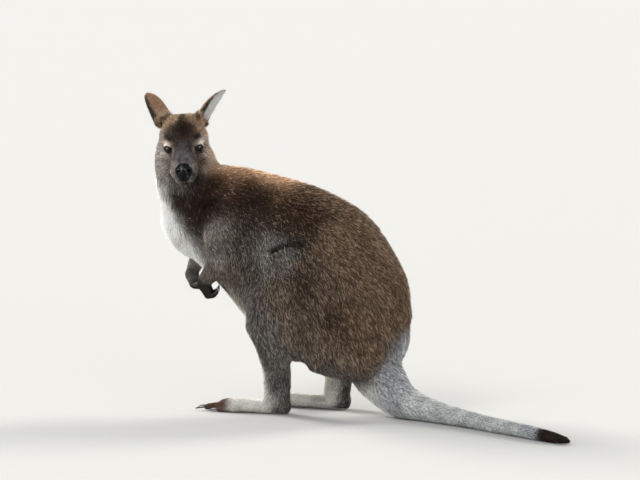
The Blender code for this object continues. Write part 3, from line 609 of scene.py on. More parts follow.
def lid_measure(head, side):
    """How many openings out from the middle of the eye a point is, its height along the gaze, its
    distance from the gaze, the gaze, and how far up the eye it is."""
    out = SIDES[side]
    look = gaze(side)
    along = unit(np.cross((0.0, 0.0, 1.0), look)) * out  # towards the nose
    up = np.cross(look, along) * out
    offset = head - eye_centre(side)
    height = offset @ look
    fore, rise = offset @ along, offset @ up
    fore, rise = (fore * math.cos(LID_ROLL) + rise * math.sin(LID_ROLL),
                  rise * math.cos(LID_ROLL) - fore * math.sin(LID_ROLL))
    narrow = 1.0 - 0.22 * np.clip(fore / LID_HALF_LENGTH, 0.0, 1.5)
    long = LID_HALF_LENGTH * np.where(fore > 0, 1.12, 0.95)
    measure = np.sqrt((fore / long) ** 2 + (rise / (LID_HALF_HEIGHT * narrow)) ** 2)
    return measure, height, np.sqrt(fore ** 2 + rise ** 2), look, rise


def shape_eyes(head):
    """Lids that hug the eyeballs; inside the opening the skin lies behind them."""
    for side in SIDES:
        measure, height, radial, look, rise = lid_measure(head, side)
        near = (measure < LID_SPREAD) & (height > -0.01)
        ball = np.sqrt(np.maximum(EYE_RADIUS ** 2 - radial ** 2, 0.0))
        thick = LID_THICK + UPPER_LID_EXTRA * (rise > 0)
        outer = np.sqrt(np.maximum((EYE_RADIUS + thick) ** 2 - radial ** 2, 0.0))
        hidden = ball - LID_BACK
        lid = hidden + (outer - hidden) * ease(0.93, 1.04, measure)
        fade = 1.0 - ease(1.1, LID_SPREAD, measure)
        target = np.where(measure < 1.1, lid, height + (outer - height) * fade)
        move = np.where(near, target - height, 0.0)
        head = head + move[:, None] * look
    return head


# the bare nose, seen from ahead, and the mouth, in the head's frame
PAD_TOP = -0.0066
PAD_FOOT = -0.0462
PAD_HALF_WIDTH = 0.0176
NOSE_FROM = 0.066  # how far forward the bare nose begins
NOSTRIL_OUT, NOSTRIL_UP = 0.01, -0.0205
MOUTH_CORNER = 0.03  # how far forward it is
MOUTH_LENGTH = 0.055
MOUTH_HEIGHT = -0.0455
GROOVE_HALF_WIDTH = 0.0011


def pad_measure(head):
    """Below 1 on the bare nose, seen from ahead."""
    x, y, z = head.T
    t = np.clip((PAD_TOP - z) / (PAD_TOP - PAD_FOOT), -0.5, 1.5)
    shape = np.where(t < 0.3, 0.8 + 0.2 * np.sin(np.clip(t, 0, 0.3) / 0.3 * math.pi / 2),
                     1.0 - 0.72 * ease(0.5, 1.0, t))
    wide = abs(x) / (PAD_HALF_WIDTH * shape)
    tall = abs(t - 0.5) / 0.5
    round_top = np.where(t < 0.2, 0.35 * (abs(x) / PAD_HALF_WIDTH) ** 2, 0.0)
    measure = np.maximum(wide, tall + round_top)
    behind = ease(NOSE_FROM, 0.06, y)
    return measure + 3.0 * behind


def nostril_measure(head):
    """Below 1 in the comma-shaped nostrils."""
    x, z = abs(head[:, 0]) - NOSTRIL_OUT, head[:, 2] - NOSTRIL_UP
    bend = z + 14.0 * np.clip(x + 0.001, 0, 1) ** 2 * 10 - 0.3 * x
    return np.sqrt((x / 0.0046) ** 2 + (bend / 0.0026) ** 2) + 5.0 * (head[:, 1] < NOSE_FROM)


def mouth_height(forward):
    """Height of the mouth's line, from its corner to the front."""
    t = np.clip((forward - MOUTH_CORNER) / MOUTH_LENGTH, 0.0, 1.0)
    return MOUTH_HEIGHT - 0.0035 * np.sin(t * math.pi * 0.8) - 0.001 * t


def mouth_measure(head):
    """Distance from the mouth's line, in half widths of its groove."""
    x, y, z = head.T
    gap = abs(z - mouth_height(y) + 0.035 * abs(x) * (y > NOSE_FROM))
    return gap / GROOVE_HALF_WIDTH + 4.0 * (y < MOUTH_CORNER)


def shape_nose(head):
    """Pad, wings, nostrils and the groove below them, as moves straight ahead."""
    x, y, z = head.T
    ahead = np.array((0.0, 1.0, 0.0))
    on_face = (y > 0.055) & (abs(x) < 0.03)
    pad = 1.0 - ease(0.92, 1.1, pad_measure(head))
    hole = 1.0 - ease(0.7, 1.15, nostril_measure(head))
    rim = np.exp(-((nostril_measure(head) - 1.25) / 0.22) ** 2) * (z > NOSTRIL_UP - 0.003)
    groove = np.exp(-(x / 0.0009) ** 2) * ease(-0.024, -0.032, z) * (1 - ease(-0.0455, -0.0475, z))
    lift = 0.0013 * pad + 0.0009 * rim * pad - 0.0058 * hole - 0.0016 * groove
    return head + (lift * on_face)[:, None] * ahead


def shape_mouth(head, normals):
    """The groove between the lips, and their rims."""
    x, y, z = head.T
    strength = ease(MOUTH_CORNER, 0.046, y) * (abs(z - mouth_height(y)) < 0.012) * (abs(x) < 0.035)
    groove = np.exp(-mouth_measure(head) ** 2) * 0.0022
    lip = np.exp(-((mouth_measure(head) - 3.2) / 1.3) ** 2) * 0.0007
    return head + normals * ((lip - groove) * strength)[:, None]


def shape_face(skin):
    """Mouth, nose, nostrils and lids, as moves of the skin's points in the head's frame."""
    refine(skin, face_front)
    points, _, edges = arrays(skin.data)
    front = face_front(to_head(points)).astype(float) * 0.5
    set_points(skin.data, relaxed(points, edges, front, 10))
    refine(skin, face_fine)
    points, triangles, _ = arrays(skin.data)
    head = to_head(points)
    near = (head[:, 1] > -0.03) & (np.linalg.norm(head, axis=1) < 0.13)
    normals = (normals_of(points, triangles) @ HEAD_AXES)[near]
    head[near] = shape_eyes(shape_nose(shape_mouth(head[near], normals)))
    set_points(skin.data, from_head(head))


def thin_out(skin):
    thin = skin.modifiers.new("thin", "DECIMATE")
    thin.ratio = min(1.0, SKIN_TRIANGLES / (2 * len(skin.data.polygons)))
    evaluated(skin)
    with editing(skin.data) as form:
        bmesh.ops.triangulate(form, faces=form.faces)


def ear_axes(side):
    """An ear's root, and the ways it points, opens and lies across."""
    root, axis, opening = (np.array(v, float) for v in EARS[side])
    along = HEAD_AXES @ unit(axis)
    face = HEAD_AXES @ unit(opening)
    face = unit(face - along * (face @ along))
    return from_head(root), along, face, np.cross(along, face)


def ear_half_width(t):
    """At a share of the ear's length from its root."""
    swell = np.sin(np.pi * np.clip(0.28 + 0.56 * t, 0.05, 1.0)) ** 0.8
    rounding = np.sqrt(np.maximum(0.0, 1.0 - np.maximum(0.0, (t - 0.7) / 0.3) ** 2.2))
    return EAR_WIDTH * swell * np.maximum(rounding, 0.16)


EAR_ROWS = 44
EAR_COLUMNS = 30
EAR_SKIN = 0.002  # the leaf's thickness without its fur
EAR_MARGIN = 0.0012  # fur on the ear's edge


def ear_mesh(side):
    """Points and faces of one cupped ear, as a closed leaf with folds at its root."""
    base, along, face, across = ear_axes(side)
    t, u = np.meshgrid(np.linspace(-0.22, 1, EAR_ROWS), np.linspace(-1, 1, EAR_COLUMNS), indexing="ij")
    half = (ear_half_width(t) - EAR_MARGIN) * ease(-0.3, 0.12, t)
    cup = np.radians(95 - 62 * np.maximum(t, 0))
    radius = half / np.sin(np.minimum(cup, math.radians(88)))
    turn = cup * u
    edge = 1.0 - 0.55 * abs(u) ** 3
    fold = 0.001 * np.sin(u * 9.0 + 1.0) * ease(0.45, 0.1, t) * (1 - abs(u) ** 4)
    layers = []
    for offset in (0.5, -0.5):
        reach = radius + offset * EAR_SKIN * edge + fold
        sway = 0.006 * np.sin(np.pi * t)
        point = base + along * (EAR_LENGTH - 0.001) * t[..., None]
        point = point + across * (reach * np.sin(turn))[..., None]
        point = point - face * (reach * np.cos(turn) - radius * 0.75 + sway)[..., None]
        layers.append(point.reshape(-1, 3))
    points = np.concatenate(layers)
    count = EAR_ROWS * EAR_COLUMNS
    index = np.arange(count).reshape(EAR_ROWS, EAR_COLUMNS)
    faces = []
    for quad in zip(index[:-1, :-1].flat, index[:-1, 1:].flat, index[1:, 1:].flat, index[1:, :-1].flat):
        faces += [quad, tuple(count + v for v in reversed(quad))]
    rim = [*index[:, 0], *index[-1, 1:], *index[-2::-1, -1], *index[0, -2:0:-1]]
    faces += [(a, b, b + count, a + count) for a, b in zip(rim, rim[1:] + rim[:1])]
    return points, faces


def join_ears(skin):
    with editing(skin.data) as form:
        for side in SIDES:
            points, faces = ear_mesh(side)
            verts = [form.verts.new(point) for point in points]
            for face in faces:
                form.faces.new([verts[i] for i in face])
        bmesh.ops.recalc_face_normals(form, faces=form.faces)
        bmesh.ops.triangulate(form, faces=form.faces)


def make_skin(find_node):
    skin = fused_flesh()
    soften(skin, find_node)
    shape_face(skin)
    thin_out(skin)
    join_ears(skin)
    skin.data.shade_smooth()
    return skin


# ---------------- markings
# the fold where the thigh meets the left flank, sunk into the skin and darkened as painted shade: x, z
# before centring
FOLD = ((-0.023, 0.347), (-0.008, 0.354), (0.008, 0.36), (0.026, 0.363), (0.044, 0.36))
FOLD_REACH = 0.0048  # about half its width


def stroke(points, start, end, width):
    """1 along a line seen along y, fading to 0 at about the given width."""
    start, end = np.array(start), np.array(end)
    flat = points[:, (0, 2)]
    along = np.clip((flat - start) @ (end - start) / ((end - start) @ (end - start)), 0, 1)
    gap = np.linalg.norm(flat - start - along[:, None] * (end - start), axis=1)
    return np.exp(-((gap / width) ** 2))


def fold_share(points):
    """1 in the middle of the flank's fold."""
    own = points - CENTRED
    share = np.max([stroke(own, start, end, FOLD_REACH) for start, end in zip(FOLD, FOLD[1:])], 0)
    return share * (points[:, 1] < -0.02)


def blob(points, centre, size):
    """1 at the centre, fading to 0 at about the given size each way."""
    return np.exp(-(((points - np.array(centre)) / np.array(size)) ** 2).sum(1) * 1.5)


def painted(colour, *layers):
    """Colours with tints laid over them one after another, each by a share at every point."""
    colour = np.asarray(colour)
    for tint, share in layers:
        colour = colour + (np.asarray(tint) - colour) * np.clip(share, 0, 1)[:, None]
    return colour


def wobble(points, scale, seed):
    """Smooth noise about 0, from a few waves of a length of about scale."""
    draw = np.random.default_rng(seed)
    total = np.zeros(len(points))
    for _ in range(7):
        wave = unit(draw.normal(size=3)) * 2 * math.pi / (scale * draw.uniform(0.6, 1.6))
        total += np.sin(points @ wave + draw.uniform(0, 6.3))
    return total / 3.0


# marks on both sides of the head in its frame: centre and size in millimetres, colour, strength
FACE_SPOTS = (
    ((35, 12, 7.5), (18, 30, 16), (0.018, 0.013, 0.011), 0.85),  # round the eye
    ((33.8, 10, 15.2), (12.5, 20, 6.2), (0.74, 0.62, 0.52), 1.5),  # brow
    ((40, 10, -4.5), (7, 14, 4), (0.62, 0.55, 0.48), 1.3),  # below the eye
    ((44.5, -2, -12.5), (8, 16, 9.5), (0.44, 0.38, 0.34), 0.9),
    ((32, 20, -19), (7.5, 22, 11), (0.05, 0.042, 0.038), 0.85),  # hollow
    ((10, 66, -1.5), (7, 12, 5.5), (0.01, 0.008, 0.007), 1.0),  # above the wings
)
# lines on both sides of the face seen from ahead, in millimetres: start and end (outwards, up), how
# far ahead of the head's origin they begin, width; then colour and strength
FACE_LINES = (
    ((19, 10), (21.5, -6), 10, 2.6, (0.27, 0.22, 0.21), 0.75),  # beside the bridge
    ((21.5, -6), (18.5, -18), 20, 2.4, (0.23, 0.19, 0.18), 0.65),
    ((37, -35), (18, -60), 12, 3.6, (0.036, 0.022, 0.015), 0.95),  # under the lip
    ((30, -34.5), (11.5, -47.5), 30, 3.2, (0.56, 0.54, 0.51), 0.8),  # lip
    ((40, -25), (44, -13), 0, 2.6, (0.06, 0.05, 0.046), 0.6),
    ((33, -20), (36, -30), 15, 2.6, (0.06, 0.05, 0.046), 0.6),
    ((24, 26), (45, 33), 0, 4.2, (0.012, 0.008, 0.007), 0.9),  # over the brow
)


WEDGE = (0.02, 0.009, 0.004)  # on the crown
BRIDGE = (0.12, 0.112, 0.124)  # of the nose
LEATHER = (0.004, 0.004, 0.004)  # nose, lids and the edges of the lips
LIP = (0.16, 0.085, 0.08)  # below the nose
SOLE = (0.045, 0.034, 0.03)


def head_marks(head, colour):
    """Crown wedge, mask, pale marks round the eyes, bridge and lip stripes."""
    x, y, z = head.T
    side = np.stack((abs(x), y, z), 1)
    near = (abs(x) < 0.07) & (y > -0.09) & (abs(z) < 0.1)
    wedge = ease(0.02, 0.004, abs(x) * (1.0 + 30.0 * abs(y + 0.012))) * ease(-0.075, -0.055, y)
    wedge *= ease(0.03, 0.012, y) * ease(0.02, 0.03, z)
    bridge = blob(side, (0.0, 0.045, 0.007), (0.013, 0.024, 0.03))
    layers = [(WEDGE, 0.92 * wedge * near), (BRIDGE, 0.8 * bridge * near)]
    for centre, size, tone, strength in FACE_SPOTS:
        layers.append((tone, strength * blob(side, np.array(centre) / 1000, np.array(size) / 1000) * near))
    for start, end, begin, width, tone, strength in FACE_LINES:
        share = stroke(side, np.array(start) / 1000, np.array(end) / 1000, width / 1000)
        share = share * ease(begin / 1000 - 0.012, begin / 1000, y)
        layers.append((tone, strength * share * near))
    return painted(colour, *layers)


def coat_facts(points):
    """Way, length, depth, width, colour, share of pale and of dark tips at each point."""
    lie, facts = COAT.at(points)
    colour = head_marks(to_head(points), facts[:, 3:6])
    colour = colour * (1.0 + 0.16 * wobble(points, 0.035, 3))[:, None]
    return lie, facts[:, 0], facts[:, 1], facts[:, 2], colour, facts[:, 6], facts[:, 7]


def bare_share(points, normals):
    """1 on the nose, lips, lids and soles, which have no coat."""
    head = to_head(points)
    bare = 1.0 - ease(0.98, 1.1, pad_measure(head))
    bare *= head[:, 1] > 0.055
    lips = ease(0.8, 0.5, mouth_measure(head) * 0.35) * (abs(head[:, 0]) < 0.034)
    bare = np.maximum(bare, lips * (head[:, 1] > MOUTH_CORNER) * (abs(head[:, 2] + 0.048) < 0.01))
    for side in SIDES:
        measure, height, _, _, rise = lid_measure(head, side)
        rim = 1.2 + 0.22 * (rise > 0)
        bare = np.maximum(bare, (1 - ease(rim - 0.08, rim + 0.08, measure)) * (height > -0.004))
    soles = (points[:, 2] < 0.004) & (normals[:, 2] < -0.5) & (points[:, 0] < 0.0)
    return np.maximum(bare, soles)


def skin_colour(points, normals):
    """Colour of the skin at each point, and how bare it is."""
    _, _, depth, _, colour, _, _ = coat_facts(points)
    # darker the deeper the coat above: partly the underfur's own dark colour, partly painted shade under
    # the coat
    colour = colour * (0.45 + 0.35 * ease(0.006, 0.0015, depth))[:, None]
    # painted shade: the skin is darkened almost to black along the fold
    colour = colour * (1.0 - 0.97 * fold_share(points))[:, None]
    head = to_head(points)
    bare = bare_share(points, normals)
    lip = blob(head, (0.0, 0.078, -0.0475), (0.01, 0.012, 0.0035))
    soles = (points[:, 2] < 0.005) & (normals[:, 2] < -0.4) & (points[:, 0] < 0.0)
    lip = 0.8 * lip * (head[:, 1] > 0.05)
    return painted(colour, (LEATHER, bare), (LIP, lip), (SOLE, soles * 0.9)), bare


# ---------------- materials
def added(tree, kind, **values):
    """A new node in a material's tree, with some of its inputs set."""
    node = tree.nodes.new("ShaderNode" + kind)
    for name, value in values.items():
        node.inputs[name.replace("_", " ")].default_value = value
    return node


def attribute(tree, name):
    node = added(tree, "Attribute")
    node.attribute_name = name
    return node


def bumped(tree, lit, height, strength, distance):
    """Give a shader a bump from one socket."""
    bump = added(tree, "Bump", Strength=strength, Distance=distance)
    tree.links.new(height, bump.inputs["Height"])
    tree.links.new(bump.outputs["Normal"], lit.inputs["Normal"])


def textured(tree, kind, **values):
    """A texture node in the object's own coordinates."""
    texture = added(tree, kind, **values)
    tree.links.new(added(tree, "TexCoord").outputs["Object"], texture.inputs["Vector"])
    return texture


def shader(name, roughness, specular, sheen=0.0):
    """A material coloured by the mesh's tint."""
    material = bpy.data.materials.new(name)
    material.use_nodes = True
    tree = material.node_tree
    lit = tree.nodes["Principled BSDF"]
    lit.inputs["Roughness"].default_value = roughness
    lit.inputs["Specular IOR Level"].default_value = specular
    lit.inputs["Sheen Weight"].default_value = sheen
    lit.inputs["Sheen Roughness"].default_value = 0.55
    tree.links.new(attribute(tree, "tint").outputs["Color"], lit.inputs["Base Color"])
    return material, tree, lit


def coat_material(slot):
    material, _, _ = shader(slot, 0.62, 0.03, 0.01)
    return material


def skin_material():
    """Short fur as a fine bump where there is coat; leather where the skin is bare."""
    material, tree, lit = shader("hide", 0.8, 0.1)
    link = tree.links.new
    bare = attribute(tree, "bare").outputs["Fac"]
    rough = added(tree, "MapRange", To_Min=0.82, To_Max=0.17)
    link(bare, rough.inputs["Value"])
    link(rough.outputs["Result"], lit.inputs["Roughness"])
    leather = textured(tree, "TexVoronoi", Scale=900.0)
    down = textured(tree, "TexNoise", Scale=700.0, Detail=3.0)
    grain = added(tree, "Mix")
    link(bare, grain.inputs["Factor"])
    link(down.outputs["Fac"], grain.inputs[2])
    link(leather.outputs["Distance"], grain.inputs[3])
    bumped(tree, lit, grain.outputs[0], 0.35, 0.0005)
    return material


def eye_material():
    material, _, lit = shader("eyeball", 0.05, 0.28)
    lit.inputs["IOR"].default_value = 1.42
    return material


def claw_material():
    """Horn, mottled in two darks."""
    material, tree, lit = shader("horn", 0.32, 0.45)
    mottle = textured(tree, "TexNoise", Scale=450.0, Detail=4.0).outputs["Fac"]
    ramp = added(tree, "ValToRGB")
    stops = ((0.35, (0.006, 0.005, 0.005, 1)), (0.75, (0.05, 0.038, 0.032, 1)))
    for element, (position, colour) in zip(ramp.color_ramp.elements, stops):
        element.position, element.color = position, colour
    tree.links.new(mottle, ramp.inputs["Fac"])
    tree.links.new(ramp.outputs["Color"], lit.inputs["Base Color"])
    bumped(tree, lit, mottle, 0.2, 0.0002)
    return material


def paint(mesh, name, values):
    """Store colours or single numbers at the points of a mesh."""
    if values.ndim == 2:
        layer = mesh.attributes.new(name, "FLOAT_COLOR", "POINT")
        full = np.ones((len(values), 4), np.float32)
        full[:, :3] = np.clip(values, 0.0, 1.0)
        layer.data.foreach_set("color", full.ravel())
    else:
        layer = mesh.attributes.new(name, "FLOAT", "POINT")
        layer.data.foreach_set("value", values.astype(np.float32))


# ---------------- coat
# piece: slot, spacing of the tufts, most tufts, whether they are long, nodes it grows on
COATS = {
    "fur_head": ("coat_face", 0.00125, 45000, False, ("head",)),
    "fur_ears": ("coat_back", 0.00125, 16000, False, EAR_NODES),
    "fur_neck": ("coat_back", 0.0023, 11000, True, ("neck",)),
    "fur_chest": ("coat_flank", 0.0024, 18000, True, ("chest",)),
    "fur_abdomen": ("coat_back", 0.0026, 19500, True, ("abdomen",)),
    "fur_rump": ("coat_back", 0.0026, 19500, True, ("rump",)),
    "fur_thigh_left": ("coat_back", 0.0025, 12000, True, ("thigh_left",)),
    "fur_thigh_right": ("coat_back", 0.0025, 12000, True, ("thigh_right",)),
    "fur_arms": ("coat_flank", 0.0018, 12000, True,
                 ("upper_arm_left", "upper_arm_right", "forearm_left", "forearm_right")),
    "fur_hands": ("coat_dark", 0.0012, 9000, False, ("hand_left", "hand_right")),
    "fur_shanks": ("coat_flank", 0.0018, 12000, True, ("shank_left", "shank_right")),
    "fur_feet": ("coat_pale", 0.0014, 22000, False, ("foot_left", "foot_right")),
    "fur_tail": ("coat_tail", 0.0021, 17000, True, ("tail_base", "tail_middle")),
    "fur_tail_tip": ("coat_dark", 0.0018, 6000, True, ("tail_tip",)),
}
PATCH = 0.003  # side of a tuft's patch on the flat map
TRIES = 5.0  # places drawn for each square of the spacing
CELL_SHIFT, CELL_STRIDE = 100000, 1000003  # to make one number of a cell's three
BARE_LIMIT = 0.35  # no tufts where the skin is barer than this
FOLD_LIMIT = 0.45  # nor deeper in the fold than this
TUFT_CORNERS = ((-0.5, -0.165), (0.5, -0.165), (0.0, 0.335))  # of a ring: across, out, in widths
# least and most of a tuft's sizes, as shares of what the coat has there
LENGTHS, DEPTHS, WIDTHS = (0.7, 1.2), (0.55, 1.25), (0.9, 1.45)
SWAYS = ((0.016, 20, 0.15), (0.005, 30, 0.14))  # size of the waves in the lie, first seed, strength
CLUMP = 0.0038  # size of the clumps whose tips share a shade
CLUMPED = 0.72  # share of tufts that follow their clump
TUFT_LOWEST = 0.0008  # above the floor
PALE_TIP = np.array((0.235, 0.19, 0.145))  # added to a pale-tipped hair
PALE_BELOW = 0.045  # hair darker than this has less of it


def unwrapped(points, triangles):
    """A flat map of some of the skin: u, v for each corner of each triangle."""
    used, index = np.unique(triangles, return_inverse=True)
    region = mesh_object("region", points[used].tolist(), index.reshape(-1, 3).tolist())
    bpy.context.view_layer.objects.active = region
    region.select_set(True)
    bpy.ops.object.mode_set(mode="EDIT")
    bpy.ops.mesh.select_all(action="SELECT")
    bpy.ops.uv.smart_project(angle_limit=math.radians(66), island_margin=0.006)
    bpy.ops.object.mode_set(mode="OBJECT")
    mesh = region.data
    spots = np.empty(len(mesh.loops) * 2, np.float32)
    mesh.uv_layers.active.data.foreach_get("uv", spots)
    bpy.data.objects.remove(region)
    bpy.data.meshes.remove(mesh)
    return spots.reshape(-1, 3, 2) * (1 - 4 * PATCH) + 2 * PATCH


def sown(points, triangles, spacing, most, draw):
    """Roots spread evenly over some triangles: which triangle, and where on it."""
    a, b, c = (points[triangles[:, k]] for k in range(3))
    area = np.linalg.norm(np.cross(b - a, c - a), axis=1) / 2
    count = int(TRIES * area.sum() / spacing ** 2)
    chosen = draw.choice(len(triangles), count, p=area / area.sum())
    share = draw.random((count, 2))
    share = np.where(share.sum(1, keepdims=True) > 1, 1 - share, share)
    share = np.column_stack((1 - share.sum(1), share))
    spots = (points[triangles[chosen]] * share[..., None]).sum(1)
    cells = np.floor(spots / spacing + draw.random(3)).astype(np.int64) + CELL_SHIFT
    key = (cells[:, 0] * CELL_STRIDE + cells[:, 1]) * CELL_STRIDE + cells[:, 2]
    _, first = np.unique(key, return_index=True)
    draw.shuffle(first)
    first = first[:most]
    return chosen[first], share[first], spots[first]


def on_skin(tree, spots):
    """The nearest point of the skin to each spot, and its normal there."""
    found = [tree.find_nearest(spot) for spot in spots.tolist()]
    return np.array([hit[0] for hit in found]), np.array([hit[1] for hit in found])


EAR_BACK, EAR_BACK_ROOT = (0.245, 0.14, 0.082), (0.38, 0.28, 0.19)
EAR_EDGE, EAR_TIP = (0.014, 0.009, 0.007), (0.016, 0.01, 0.008)
EAR_INSIDE, EAR_FRINGE = (0.8, 0.79, 0.75), (0.97, 0.95, 0.9)
# the dark colour laid inside the cup at its root, on the forward side, is painted shade
EAR_BASE_SHADE, EAR_INSIDE_ROOT = (0.02, 0.013, 0.01), (0.105, 0.08, 0.06)


def ear_facts(points, normals, facts):
    """The coat's facts with the ears' own: the lie runs to the tip, the back is brown with a black
    edge, and the inside is white with a fringe and painted shade at its root."""
    lie, length, depth, width, colour, pale, dark = facts
    for side, out in SIDES.items():
        base, along, face, across = ear_axes(side)
        offset = points - base
        t = offset @ along / EAR_LENGTH
        u = offset @ across / np.maximum(ear_half_width(np.clip(t, 0, 1)), 0.004)
        on = (t > 0.06) & (np.linalg.norm(offset, axis=1) < 1.1 * EAR_LENGTH)
        blend = ease(0.1, 0.26, t) * on
        inside = normals @ face > 0.12
        edge = ease(0.62, 0.86, u * out) * ease(0.12, 0.3, t)
        back = painted(EAR_BACK, (EAR_BACK_ROOT, ease(0.42, 0.12, t)), (EAR_EDGE, 0.97 * edge),
                       (EAR_TIP, ease(0.9, 0.98, t)))
        # inside: white, with painted shade at the root's forward side
        inner = painted(EAR_INSIDE, (EAR_FRINGE, ease(0.4, 0.8, abs(u))),
                        (EAR_BASE_SHADE, ease(0.55, 0.15, t) * ease(-0.2, 0.3, u * out)),
                        (EAR_INSIDE_ROOT, ease(0.27, 0.15, t)))
        colour = painted(colour, (np.where(inside[:, None], inner, back), blend))
        lie = np.where(on[:, None], unit(lie * (1 - blend[:, None]) + along * blend[:, None]), lie)
        fringe = inside * ease(0.55, 0.9, abs(u))
        length = np.where(on, 0.0055 + 0.004 * fringe, length)
        depth = np.where(on, 0.0011 + 0.0016 * fringe, depth)
        pale = np.where(on, 0.15, pale)
        dark = np.where(on, 0.05, dark)
        width = np.where(on, 0.0008, width)
    return lie, length, depth, width, colour, pale, dark


def tuft_pattern(rings):
    """Triangles of one tuft, whose rings of three points come before its tip, and their flat map."""
    faces, flat = [(0, 2, 1)], [((0.0, 0.02), (0.5, 0.14), (1.0, 0.02))]
    level = [0.12 + 0.4 * r for r in range(rings)]
    for r in range(rings):
        for k in range(3):
            a, b = 3 * r + k, 3 * r + (k + 1) % 3
            left, right = (k / 3, level[r]), ((k + 1) / 3, level[r])
            if r == rings - 1:
                faces.append((a, b, 3 * rings))
                flat.append((left, right, ((k + 0.5) / 3, 1.0)))
            else:
                upper_left, upper_right = (k / 3, level[r + 1]), ((k + 1) / 3, level[r + 1])
                faces += [(a, b, b + 3), (a, b + 3, a + 3)]
                flat += [(left, right, upper_right), (left, upper_right, upper_left)]
    return np.array(faces), np.array(flat)


def tuft_mesh(name, paths, across, out, widths, colours, patches, normals):
    """Closed tufts: rings of three points along each path and one point at the tip."""
    count, rings = len(paths), paths.shape[1] - 1
    size = rings * 3 + 1
    points, tint, shade = (np.empty((count, size, 3)) for _ in range(3))
    for r in range(rings):
        for k, (side, rise) in enumerate(TUFT_CORNERS):
            radial = across * side + out[:, r] * rise
            points[:, 3 * r + k] = paths[:, r] + radial * widths[:, r, None]
            shade[:, 3 * r + k] = unit(normals * 0.9 + unit(radial) * 0.55)
            tint[:, 3 * r + k] = colours[:, r]
    points[:, -1], tint[:, -1], shade[:, -1] = paths[:, -1], colours[:, -1], unit(normals)
    faces, flat = tuft_pattern(rings)
    corners = (faces[None] + (np.arange(count) * size)[:, None, None]).reshape(-1)
    spots = (patches[:, None, None] + (flat[None] - 0.5) * PATCH).reshape(-1)
    mesh = bpy.data.meshes.new(name)
    mesh.vertices.add(count * size)
    mesh.vertices.foreach_set("co", points.astype(np.float32).ravel())
    mesh.loops.add(len(corners))
    mesh.loops.foreach_set("vertex_index", corners.astype(np.int32))
    mesh.polygons.add(len(corners) // 3)
    mesh.polygons.foreach_set("loop_start", np.arange(0, len(corners), 3, dtype=np.int32))
    mesh.update(calc_edges=True)
    mesh.uv_layers.new(name="OFBake").data.foreach_set("uv", spots.astype(np.float32))
    paint(mesh, "tint", tint.reshape(-1, 3))
    mesh.shade_smooth()
    mesh.normals_split_custom_set_from_vertices(shade.reshape(-1, 3).astype(np.float32))
    return linked(name, mesh)


def combed(roots, normals, lie, long, draw):
    """The way each tuft lies: along the skin, in waves and a little to chance."""
    sway = sum(np.stack([wobble(roots, size, seed + axis) for axis in range(3)], 1) * strength
               for size, seed, strength in SWAYS)
    lie = lie + sway + draw.normal(size=roots.shape) * (0.22 if long else 0.16)
    return unit(lie - normals * (lie * normals).sum(1, keepdims=True))


def tuft_paths(tree, roots, normals, lie, length, depth, long, draw):
    """Root, middle and tip of each tuft, and the skin's normals below them; a short one has no middle."""
    steps = (0.0, 0.45, 1.0) if long else (0.0, 1.0)
    rise = (-0.1, 0.72, 1.0) if long else (-0.25, 1.0)
    paths = np.empty((len(roots), len(steps), 3))
    outs = np.empty_like(paths)
    bend = np.cross(normals, lie) * draw.normal(size=(len(roots), 1)) * 0.1
    for k, (step, up) in enumerate(zip(steps, rise)):
        spot, out = roots, normals
        if step:
            ahead = roots + (lie * step + bend * step ** 2) * length[:, None]
            spot, out = on_skin(tree, ahead)
        paths[:, k] = spot + out * (up * depth)[:, None]
        outs[:, k] = out
    paths[..., 2] = np.maximum(paths[..., 2], TUFT_LOWEST)
    return paths, outs


def tuft_tones(tips, lie, colour, pale, dark, crossing, long, draw):
    """Colours along each tuft; some tips are pale and some dark, mostly by the clump."""
    cell = np.floor((tips - 0.55 * lie * (tips * lie).sum(1, keepdims=True)) / CLUMP)
    shared = (np.sin(cell @ (12.9898, 78.233, 37.719)) * 43758.5453) % 1.0  # 0 to 1, scattered
    kind = np.where(draw.random(len(tips)) < CLUMPED, shared, draw.random(len(tips)))
    colour = colour * (0.7 + 0.45 * draw.random((len(tips), 1)) + 0.25 * shared[:, None])
    ends = colour * 1.05
    # tufts that cross the fold get less of a pale tip, which keeps the fold's painted shade dark
    lift = np.clip(colour.mean(1) / PALE_BELOW, 0.35, 1.0) * (1.0 - crossing)
    lighter, darker = kind < pale, kind > 1 - dark
    ends[lighter] = (2.3 * colour + PALE_TIP * lift[:, None])[lighter]
    ends[darker] = 0.12 * colour[darker]
    # roots darker than the tips: partly the hair's own darker base, partly painted shade of the undercoat
    tones = [0.4 * colour, colour + 0.22 * (ends - colour), ends] if long else [0.75 * colour, ends]
    return np.stack(tones, 1)


